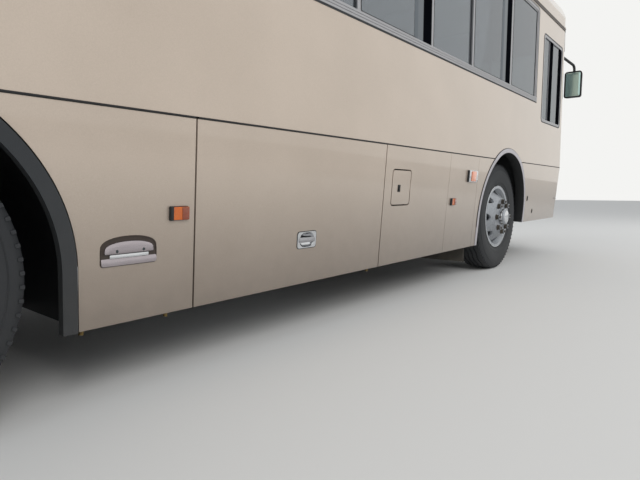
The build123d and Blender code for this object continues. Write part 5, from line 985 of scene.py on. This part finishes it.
class COACH_OT_lamps(bpy.types.Operator):
    """Finish the side markers, turn repeaters, headlamps and rear lamps"""

    bl_idname = "coach.lamps"
    bl_label = "Lamps"

    def execute(self, context):
        bm = bmesh.new()
        for side in SIDES:
            for distance in MARKERS_BACK:
                body = "service_lid" if side < 0 and distance > 3 else "chassis"
                place = skin_frame(side, back(distance), MARKER_Z)
                name = f"marker_{SIDE_NAME[side]}_{int(distance * 100)}"
                rear = place @ Matrix.Translation((-0.036, 0, 0))
                add_plate(bm, rear, (0.013, 0.054, 0.003), 0, 0.0135, 0.002)
                ring = ((0, 0), (0.0008, 0.0035), (0.003, 0.0035), (0.003, 0))
                add_frame(bm, on(place), 0.086, 0.056, 0.005, ring)
                piece(f"{name}_base", bm, "plastic", body)
                front = place @ Matrix.Translation((0.0245, 0, 0))
                add_plate(bm, front, (0.033, 0.0505, 0.003), 0, 0.0135, 0.002)
                piece(f"{name}_end", bm, "orange", body)
            place = skin_frame(side, *REPEATER_AT)
            name = f"repeater_{SIDE_NAME[side]}"
            levels = ((0.19, 0.098, 0.014, 0), (0.188, 0.096, 0.014, 0.011), (0.176, 0.086, 0.014, 0.0145))
            add_rings(bm, place, levels)
            piece(f"{name}_bezel", bm, "chrome", angle=50)
            rear = place @ Matrix.Translation((-0.0915, 0, 0))
            add_plate(bm, rear, (0.01, 0.094, 0.004), 0, 0.015, 0.002)
            piece(f"{name}_edge", bm, "plastic")
            add_plate(bm, place, (0.084, 0.082, 0.008), 0.013, 0.0215, 0.004)
            piece(f"{name}_lens", bm, "blush")

        for side in SIDES:
            rear, front = CORNER_LAMP_X
            xs = [AXLE_X + rear + (front - rear) * step / 6 for step in range(7)]
            edge = [nose_corner(side, x, CORNER_LAMP_Z[0], 0.01) for x in xs]
            edge += [nose_corner(side, x, CORNER_LAMP_Z[1], 0.01) for x in reversed(xs)]
            add_tube(bm, edge, 0.0042, 8, closed=True)
        for side in SIDES:
            ring = ((-0.004, -0.004), (-0.003, 0.0022), (0.005, 0.0018), (0.006, -0.004))
            add_frame(bm, end_place(1, side * HEADLAMP_PAIR_Y, HEADLAMP_Z), 0.35, 0.16, 0.02, ring, fine=6)
        ring = ((-0.005, -0.004), (-0.004, 0.0025), (0.004, 0.002), (0.005, -0.004))
        for side in SIDES:
            for low, high in ((0.9, 1.034), (1.04, 1.4)):
                middle = end_place(-1, side * REAR_LAMP_Y, (low + high) / 2)
                add_frame(bm, middle, 0.14, high - low, 0.012, ring, fine=4)
        piece("lamp_seals", bm, "rubber")
        for y in REFLECTORS_Y:
            aim = facing(end_at(1, y, HEADLAMP_Z, -0.03), (1, 0, 0))
            name = f"headlamp_{'left' if y > 0 else 'right'}_{int(abs(y) * 100)}"
            add_lathe(bm, ((0, -0.004), (0.011, -0.004), (0.011, 0.003), (0.008, 0.005), (0, 0.005)), aim, 20)
            piece(f"{name}_socket", bm, "chrome")
            add_lathe(bm, ((0, 0.005), (0.006, 0.005), (0.0062, 0.014), (0.004, 0.018), (0, 0.019)), aim, 20)
            piece(f"{name}_bulb", bm, "lens")
        for low, high, finish in ((1.075, 1.205, "amber"), (0.925, 1.015, "lens")):
            outline = divided(rounded_outline(0.118, high - low, 0.008), 4)
            for side in SIDES:
                middle = end_place(-1, side * REAR_LAMP_Y, (low + high) / 2)
                levels = ((1, -0.002), (1, 0.004), (0.95, 0.0055))
                loops = [[middle(u * size, v * size, level) for u, v in outline] for size, level in levels]
                add_loops(bm, loops)
            piece(f"rear_lamp_{finish}", bm, finish, angle=50)
        return {"FINISHED"}


# The driver's window, as its X and its Z, and where its upright bar stands
DRIVER_WINDOW = ((back(-0.955), back(-1.72)), (1.51, 2.44))
DRIVER_BAR_X = back(-1.262)


class COACH_OT_window_trim(bpy.types.Operator):
    """Add the sill rails, the black pillar covers and the rubber round every pane"""

    bl_idname = "coach.window_trim"
    bl_label = "Window trim"

    def execute(self, context):
        bm = bmesh.new()
        seal = context.scene.coach_sizes.seal_width
        wedge = ((-0.0565, -0.003), (-0.0565, 0.001), (-0.131, 0.001), (-0.165, -0.0064), (-0.16, -0.0067))
        gasket = ((-0.002, -0.001), (-0.002, 0.0012), (seal * 0.7, 0.0012), (seal, -0.0028), (0, -0.0028))
        for side in SIDES:
            tag = SIDE_NAME[side]
            face = side_face(side)
            units = window_units(side)
            run = (units[-1][0] - 0.004, units[0][1] + 0.004)
            for zs in ((1.6895, 1.7035), (1.7052, 1.719), (1.7207, 1.735)):
                add_strip(bm, side, run, zs, (0, 0.0045))
            piece(f"sill_rail_{tag}", bm, "aluminium", bevel=0.001)
            for *zs, out in ((1.6795, 1.6893, 0.0022), (1.7036, 1.7051, 0.0012), (1.7191, 1.7206, 0.0012)):
                add_strip(bm, side, run, zs, (-0.001, out))
            for unit in units:
                ring = ((-0.003, -0.001), (-0.003, 0.0014), (0.003, 0.0014), (0.003, -0.001))
                add_surround(bm, face, unit, (SILL_Z, BAND_TOP_Z), 0.045, ring)
                for front, rear, depth in window_panes(*unit):
                    ring = [(inset, level - depth) for inset, level in gasket]
                    add_surround(bm, face, (front, rear), PANE_Z, 0.012, ring)
            piece(f"window_seals_{tag}", bm, "rubber")
            pillars = [high + PILLAR_W / 2 for low, high in units[1:]]
            for x in pillars:
                add_strip(bm, side, (x - 0.056, x + 0.052), (1.7362, 2.632), (-0.002, 0.003))
            piece(f"pillar_covers_{tag}", bm, "pillar", bevel=0.0015)
            for x in pillars:
                add_loops(bm, [[face(x + u, z, level) for u, level in wedge] for z in (1.7362, 2.6)])
            piece(f"glass_edges_{tag}", bm, "printed", angle=5)

        # The driver's window and the emergency door, only on the right
        face = side_face(-1)
        (_, high), (bottom, top) = DRIVER_WINDOW
        bar = DRIVER_BAR_X
        ring = ((-0.006, -0.001), (-0.005, 0.0022), (0.004, 0.0022), (0.008, -0.004), (0, -0.004))
        add_surround(bm, face, *DRIVER_WINDOW, 0.045, ring)
        piece("driver_window_seal", bm, "rubber")
        add_strip(bm, -1, (bar - 0.058, bar + 0.058), (bottom + 0.03, top - 0.03), (-0.0045, -0.0015))
        add_strip(bm, -1, (high - 0.105, high - 0.007), (bottom + 0.02, top - 0.02), (-0.0125, -0.0005))
        piece("driver_window_bars", bm, "pillar", bevel=0.001)
        lo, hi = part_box("emergency_glass")
        ring = ((-0.01, -0.001), (-0.009, 0.0018), (0.004, 0.0018), (0.009, -0.008), (0, -0.008))
        add_surround(bm, face, (lo.x, hi.x), (lo.z, hi.z), 0.045, ring)
        piece("emergency_door_seal", bm, "rubber", "emergency_leaf")
        face_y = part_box("entrance_leaf_rear")[1].y
        for name in ("front", "rear"):
            lo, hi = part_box(f"entrance_glass_{name}")
            ring = ((-0.009, -0.001), (-0.008, 0.0018), (0.004, 0.0018), (0.009, -0.015), (0, -0.015))
            add_surround(bm, side_face(1, face_y), (lo.x, hi.x), (lo.z, hi.z), 0.03, ring)
            piece(f"entrance_seal_{name}", bm, "rubber", f"entrance_{name}")
        ring = ((-0.014, -0.002), (-0.012, 0.0045), (0.01, 0.0045), (0.016, -0.007), (0, -0.007))
        add_frame(bm, end_place(1, 0, 1.905), 2.19, 1.23, 0.11, ring, fine=18)
        add_frame(bm, end_place(-1, 0, 2.15), 1.9, 0.7, 0.09, ring, fine=14)
        piece("end_glass_seals", bm, "rubber")
        return {"FINISHED"}


# The front wheel arches: their middle and the heights where the rear and the front end
ARCH_X = back(0.016)
ARCH_Z = 0.515
ARCH_ENDS = (0.43, 0.29)


class COACH_OT_seams(bpy.types.Operator):
    """Lay the belt strip and hinge sleeves as painted shade of the belt groove, the drip strip, a painted
    reflection down each front corner, the arch liners and the seams of the ends
    """

    bl_idname = "coach.seams"
    bl_label = "Seams"

    def execute(self, context):
        bm = bmesh.new()
        for side in SIDES:
            tag = SIDE_NAME[side]
            lo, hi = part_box(f"luggage_door_{tag}")
            sleeves = [("luggage", LOWER_BODY[side], lo.x + 0.002, hi.x - 0.002)]
            runs = [(TAIL_SEAM_X, REAR_X - 0.42), (hi.x + 0.004, AXLE_X - 0.41)]
            if side < 0:
                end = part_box("service_door")[1].x - 0.002
                sleeves.append(("service", "service_lid", REAR_X + 0.362, end))
                runs.append((AXLE_X + 0.41, MASK_X))
            else:
                runs += [(REAR_X + 0.42, lo.x - 0.004), (AXLE_X + 0.41, back(-0.77)), (back(-1.615), MASK_X)]
            # The hinge sleeves and belt strips lay black in the belt groove, which is body colour: painted
            # shade of the groove
            for name, body, *ends in sleeves:
                add_tube(bm, [(x, side * HALF, HINGE_Z) for x in ends], 0.0045, 12)
                piece(f"{name}_hinge_shade_sleeve_{tag}", bm, "dark", body)
            for run in runs:
                add_strip(bm, side, run, BELT_SHADE_STRIP, (-0.006, -0.001))
            piece(f"belt_shade_strip_{tag}", bm, "dark")
            add_strip(bm, side, (TAIL_SEAM_X, MASK_X), DRIP_STRIP, (-0.001, 0.0055))
            piece(f"drip_strip_{tag}", bm, "umber", bevel=0.0015)
            # Painted reflection: a brown strip down each front corner below the drip line, where the bent
            # corner reflects dark
            corner_reflection_band = ((1.856, 0), (1.856, 0.007), (1.884, 0.007), (1.884, 0))
            heights = (2.44, 2.52, 2.6, DRIP_Z)
            add_loops(bm, [[nose_corner(side, AXLE_X + x, z, out) for x, out in corner_reflection_band] for z in heights])
            piece(f"corner_reflection_strip_{tag}", bm, "umber")
        front, rear = (math.asin((ARCH_Z - z) / 0.6) for z in ARCH_ENDS)
        liner = ((0.5992, 0.003), (0.598, 0.001), (0.598, -0.085), (0.5992, -0.085))
        line = ((0.637, 0), (0.637, 0.004), (0.641, 0.004), (0.642, 0))
        for side in SIDES:
            for profile in (liner, line):
                loops = []
                for step in range(49):
                    turn = -front + (math.pi + front + rear) * step / 48
                    wide, tall = math.cos(turn), math.sin(turn)
                    spots = ((ARCH_X + r * wide, ARCH_Z + r * tall, out) for r, out in profile)
                    loops.append([skin_frame(side, *spot).translation for spot in spots])
                add_loops(bm, loops)
            piece(f"arch_liner_{SIDE_NAME[side]}", bm, "dark", angle=50)
        # At belt height the black band is painted shade of the belt groove; at the bumper's top it is a dark
        # seam
        for end in (1, -1):
            add_band(bm, end, BELT_SHADE_STRIP, (-0.006, -0.001))
            add_band(bm, end, (BUMPER_TOP_Z - 0.003, BUMPER_TOP_Z + 0.003), (-0.006, 0.0012))
        piece("end_seams_and_groove_shade", bm, "dark")
        for end in (1, -1):
            add_band(bm, end, DRIP_STRIP, (-0.001, 0.0055))
        piece("end_drip_strips", bm, "umber")
        return {"FINISHED"}


MIRROR_AT = (1.21, 2.145)
WIPER_PIVOTS = (("left", 0.8), ("right", -0.08))
WIPER_PIVOT_Z = 1.235
WIPER_REACH = -0.42


class COACH_OT_ends(bpy.types.Operator):
    """Add the mirror glass and the wipers"""

    bl_idname = "coach.ends"
    bl_label = "Ends"

    def execute(self, context):
        bm = bmesh.new()
        rear_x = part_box("mirrors")[1].x - 0.09
        insets = ((0.019, -0.002), (0.019, 0.001), (0.021, 0.0018), (0.045, 0.0026), (0.08, 0.003))
        rings = [(0.21 - 2 * i, 0.34 - 2 * i, max(0.034 - i, 0.006), level) for i, level in insets]
        for side in SIDES:
            origin = (rear_x, side * MIRROR_AT[0], MIRROR_AT[1])
            add_rings(bm, axes((0, 1, 0), (0, 0, 1), (-1, 0, 0), origin), rings)
            piece(f"mirror_glass_{SIDE_NAME[side]}", bm, "mirror", angle=60)

        length = context.scene.coach_sizes.wiper_length
        boss = ((0, -0.01), (0.024, -0.01), (0.024, 0.012), (0.017, 0.02), (0, 0.022))
        for name, pivot in WIPER_PIVOTS:
            root = end_at(1, pivot, WIPER_PIVOT_Z)
            add_lathe(bm, boss, facing(root, (1, 0, 0)), 24)
            knee = end_at(1, pivot + WIPER_REACH * 0.35, 1.278, 0.032)
            tip = end_at(1, pivot + WIPER_REACH, 1.372, 0.026)
            add_tube(bm, smooth_path([root + Vector((0.014, 0, 0)), knee, tip]), 0.0065, 8)
            ys = [pivot + WIPER_REACH + length * (step / 14 - 0.5) for step in range(15)]
            blade = [end_at(1, y, 1.366, 0.014) for y in ys]
            add_tube(bm, blade, 0.0048, 6)
            add_tube(bm, [point + Vector((0.007, 0, 0.004)) for point in blade[2:-2]], 0.0032, 6)
            piece(f"wiper_{name}", bm, "plastic", angle=50)
        return {"FINISHED"}


class COACH_OT_doors(bpy.types.Operator):
    """Add the fittings of the entrance, the emergency door and the engine lid"""

    bl_idname = "coach.doors"
    bl_label = "Doors"

    def execute(self, context):
        bm = bmesh.new()
        face_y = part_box("entrance_leaf_rear")[1].y
        lock = facing((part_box("entrance_leaf_front")[1].x - 0.024, face_y, 1.02), (0, 1, 0))
        add_lathe(bm, ((0, 0), (0.017, 0), (0.016, 0.003), (0.007, 0.0035), (0, 0.003)), lock, 24)
        piece("entrance_lock", bm, "chrome", "entrance_front")

        place = skin_frame(-1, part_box("emergency_door")[0].x + 0.11, 1.42)
        rings = ((0.15, 0.07, 0), (0.149, 0.069, 0.0025), (0.128, 0.05, 0.0022), (0.12, 0.042, 0.0008))
        add_rings(bm, place, [(*size, 0.014, level) for *size, level in rings], cap_start=False)
        add_plate(bm, place, (0.108, 0.022, 0.006), 0.0006, 0.0065, 0.002)
        piece("emergency_handle", bm, "chrome", "emergency_leaf", angle=50)

        for y in (-0.58, 0.58):
            aim = facing(end_at(-1, y, 0.742), (-1, 0, 0))
            add_plate(bm, aim, (0.07, 0.036, 0.008), -0.006, 0.007, 0.002)
            add_plate(bm, aim, (0.04, 0.016, 0.005), 0.007, 0.01, 0.001)
        piece("engine_lid_latches", bm, "chrome", "engine_flap")
        return {"FINISHED"}


class COACH_OT_underside(bpy.types.Operator):
    """Hang the drain pipes, the skirt stay and the front hooks below the floor"""

    bl_idname = "coach.underside"
    bl_label = "Underside"

    def execute(self, context):
        bm = bmesh.new()
        for distance in (4.0, 3.66, 2.2):
            x = back(distance)
            add_tube(bm, smooth_path([(x, -1.09, 0.4), (x, -1.1, 0.33), (x - 0.02, -1.115, 0.25)]), 0.009)
        piece("drain_pipes", bm, "brass")
        add_box(bm, (back(2.2), -1.13, 0.27), (back(1.45), -1.1, 0.3))
        piece("skirt_stay", bm, "aluminium", bevel=0.003)
        x = AXLE_X + 0.9
        hook = ((x, 0.46), (x, 0.4), (x + 0.015, 0.372), (x + 0.04, 0.372), (x + 0.05, 0.395))
        for y in (-0.55, -0.72):
            add_tube(bm, smooth_path([(x, y, z) for x, z in hook]), 0.008)
        piece("front_hooks", bm, "chassis")
        return {"FINISHED"}


SEAT_ROWS = 8
SEAT_PITCH = 0.8
FIRST_ROW = 0.33
SEAT_Y = 0.745
# The middle of a pad above its floor, and of a back pad behind its seat's X
SEAT_PAD_UP = 0.3853
BACK_PAD_UP = 0.6803
BACK_PAD_BEHIND = 0.3213
FRAMES = 20
# How much smaller a pad is made than its solid, so that it has room to swell
SPARE = 0.024


def stuffed(name, size):
    """A foam pad under cloth: a rounded block blown up by a cloth simulation, capped, then smoothed once."""
    bm = bmesh.new()
    levels = ((0, 0.014), (0.2, 0), (0.8, 0), (1, 0.014))
    rings = [(size[0] - 2 * i, size[1] - 2 * i, 0.035, size[2] * (z - 0.5)) for z, i in levels]
    add_rings(bm, Matrix(), rings, steps=4)
    bmesh.ops.recalc_face_normals(bm, faces=bm.faces)
    pad = built(name, bm)
    modifier = pad.modifiers.new("remesh", "REMESH")
    modifier.mode = "VOXEL"
    modifier.voxel_size = 0.03
    plain_mesh(pad)
    rest = [vertex.co.copy() for vertex in pad.data.vertices]
    modifier = pad.modifiers.new("stuffing", "CLOTH")
    settings = modifier.settings
    settings.quality = 6
    settings.use_pressure = True
    settings.uniform_pressure_force = 4
    settings.tension_stiffness = settings.compression_stiffness = 20
    settings.effector_weights.gravity = 0
    modifier.point_cache.frame_start = 1
    modifier.point_cache.frame_end = FRAMES
    for number in range(1, FRAMES + 1):
        bpy.context.scene.frame_set(number)
    plain_mesh(pad)
    bpy.context.scene.frame_set(1)
    for vertex, start in zip(pad.data.vertices, rest):
        moved = vertex.co - start
        if moved.length > SPARE / 2:
            vertex.co = start + moved * (SPARE / 2 / moved.length)
    modifier = pad.modifiers.new("rounding", "SUBSURF")
    modifier.levels = modifier.render_levels = 1
    mesh = plain_mesh(pad).data
    bpy.data.objects.remove(pad)
    for face in mesh.polygons:
        face.use_smooth = True
    mesh.materials.clear()
    mesh.materials.append(finish_of("cloth"))
    return mesh


class COACH_OT_seats(bpy.types.Operator):
    """Upholster the seats: a stuffed seat pad and a stuffed back pad for each place"""

    bl_idname = "coach.seats"
    bl_label = "Seats"

    def execute(self, context):
        # Each seat's X, Y, width and floor: the double ones from the front, then the driver's
        rows = [AXLE_X - FIRST_ROW - SEAT_PITCH * row for row in range(SEAT_ROWS)]
        seats = [(x, side * SEAT_Y, 0.86, 1.08) for x in rows for side in SIDES]
        seats.append((back(-1.01), -0.685, 0.52, 0.87))
        upright = Vector((-0.16, 0, 1)).normalized()
        across = Vector((0, 1, 0))
        meshes = {}
        pads = []
        for number, (x, y, width, floor_z) in enumerate(seats):
            places = 2 if width > 0.6 else 1
            each = width / places
            for kind, length, thick in (("seat", 0.44, 0.11), ("back", 0.69, 0.0888)):
                key = (kind, places)
                if key not in meshes:
                    size = (length - SPARE, each - SPARE, thick - SPARE)
                    meshes[key] = stuffed(f"{kind}_pad_{places}", size)
                for place in range(places):
                    centre_y = y + each * (place - (places - 1) / 2)
                    obj = linked(f"{kind}_pad_{number:02d}_{place}", meshes[key].copy())
                    if kind == "seat":
                        obj.data.transform(Matrix.Translation((x, centre_y, floor_z + SEAT_PAD_UP)))
                    else:
                        centre = (x - BACK_PAD_BEHIND, centre_y, floor_z + BACK_PAD_UP)
                        obj.data.transform(axes(upright, across, upright.cross(across), centre))
                    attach(obj, "chassis")
                    pads.append(obj)
        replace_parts(pads[0], "seat_cushions")
        return {"FINISHED"}


# Name, place, target, size and power of each lamp over the stage
STAGE_LAMPS = (
    ("key", (-3, -9, 7.5), (2, 0, 1.2), 6, 520),
    ("fill", (9, -7, 5), (2.5, 0, 1.2), 6, 220),
    ("back", (-6, 9, 8), (0, 0, 1.5), 7, 420),
)
FLOOR_HALF = 40
CAMERA_BACK = 4.7935
CAMERA_AWAY = 1.6004
CAMERA_Z = 0.7612
CAMERA_YAW = math.radians(39.366)
CAMERA_PITCH = math.radians(5.776)
CAMERA_LENS = 27.62


class COACH_OT_stage(bpy.types.Operator):
    """Set the studio floor, the lights and the camera"""

    bl_idname = "coach.stage"
    bl_label = "Stage"

    def execute(self, context):
        bm = bmesh.new()
        scene = context.scene
        add_box(bm, (-FLOOR_HALF, -FLOOR_HALF, -0.05), (FLOOR_HALF, FLOOR_HALF, 0))
        floor = built("studio_floor", bm)
        tones = f"{scene.coach_colours.floor} {scene.coach_colours.floor}"
        paint = mottled("studio_floor_paint", tones, 0.4, (0.75, 0.85), Specular_IOR_Level=0.2)
        floor.data.materials.append(paint)

        scene.world = bpy.data.worlds.new("studio")
        scene.world.use_nodes = True
        tree = scene.world.node_tree
        light = tree.nodes["Background"]
        light.inputs["Color"].default_value = linear("#E9EDF2")
        light.inputs["Strength"].default_value = 0.75
        seen = add_node(tree, "ShaderNodeBackground", {"Color": linear("#F4F4F2"), "Strength": 1})
        path = add_node(tree, "ShaderNodeLightPath")
        shown = path.outputs["Is Camera Ray"]
        for ray in ("Is Glossy Ray", "Is Transmission Ray"):
            rays = {0: shown, 1: path.outputs[ray]}
            shown = add_node(tree, "ShaderNodeMath", rays, operation="MAXIMUM").outputs[0]
        mix = add_node(tree, "ShaderNodeMixShader", {0: shown, 1: light.outputs[0], 2: seen.outputs[0]})
        tree.links.new(mix.outputs[0], tree.nodes["World Output"].inputs["Surface"])

        for name, spot, target, size, power in STAGE_LAMPS:
            data = bpy.data.lights.new(name, "AREA")
            data.size = size
            data.energy = power
            lamp = linked(name, data)
            lamp.location = spot
            aim = Vector(target) - Vector(spot)
            lamp.rotation_euler = aim.to_track_quat("-Z", "Y").to_euler()
            lamp.visible_glossy = False

        data = bpy.data.cameras.new("camera")
        data.sensor_width = 36
        data.lens = CAMERA_LENS
        data.clip_end = 200
        camera = linked("camera", data)
        camera.location = (back(CAMERA_BACK), -HALF - CAMERA_AWAY, CAMERA_Z)
        level = math.cos(CAMERA_PITCH)
        ahead = Vector((level * math.cos(CAMERA_YAW), level * math.sin(CAMERA_YAW), -math.sin(CAMERA_PITCH)))
        camera.rotation_euler = ahead.to_track_quat("-Z", "Y").to_euler()
        scene.camera = camera
        scene.view_settings.view_transform = "Standard"
        return {"FINISHED"}


OPERATORS = (
    COACH_OT_finishes,
    COACH_OT_tyres,
    COACH_OT_wheel_trim,
    COACH_OT_handles,
    COACH_OT_lamps,
    COACH_OT_window_trim,
    COACH_OT_seams,
    COACH_OT_ends,
    COACH_OT_doors,
    COACH_OT_underside,
    COACH_OT_seats,
    COACH_OT_stage,
)


class COACH_PT_panel(bpy.types.Panel):
    """Lists the sizes and colours that can be changed, and a button for each dressing step"""

    bl_idname = "COACH_PT_panel"
    bl_label = "Coach"
    bl_space_type = "VIEW_3D"
    bl_region_type = "UI"
    bl_category = "Coach"

    def draw(self, context):
        layout = self.layout
        for group in (context.scene.coach_sizes, context.scene.coach_colours):
            for name in group.bl_rna.properties.keys():
                if name not in ("rna_type", "name"):
                    layout.prop(group, name)
        for operator in OPERATORS:
            layout.operator(operator.bl_idname)


CLASSES = (CoachSizes, CoachColours) + OPERATORS + (COACH_PT_panel,)


def register():
    for cls in CLASSES:
        bpy.utils.register_class(cls)
    bpy.types.Scene.coach_sizes = bpy.props.PointerProperty(type=CoachSizes)
    bpy.types.Scene.coach_colours = bpy.props.PointerProperty(type=CoachColours)


def unregister():
    del bpy.types.Scene.coach_colours
    del bpy.types.Scene.coach_sizes
    for cls in reversed(CLASSES):
        bpy.utils.unregister_class(cls)


def main():
    register()
    for operator in OPERATORS:
        group, name = operator.bl_idname.split(".")
        getattr(getattr(bpy.ops, group), name)()


if __name__ == "__main__":
    main()
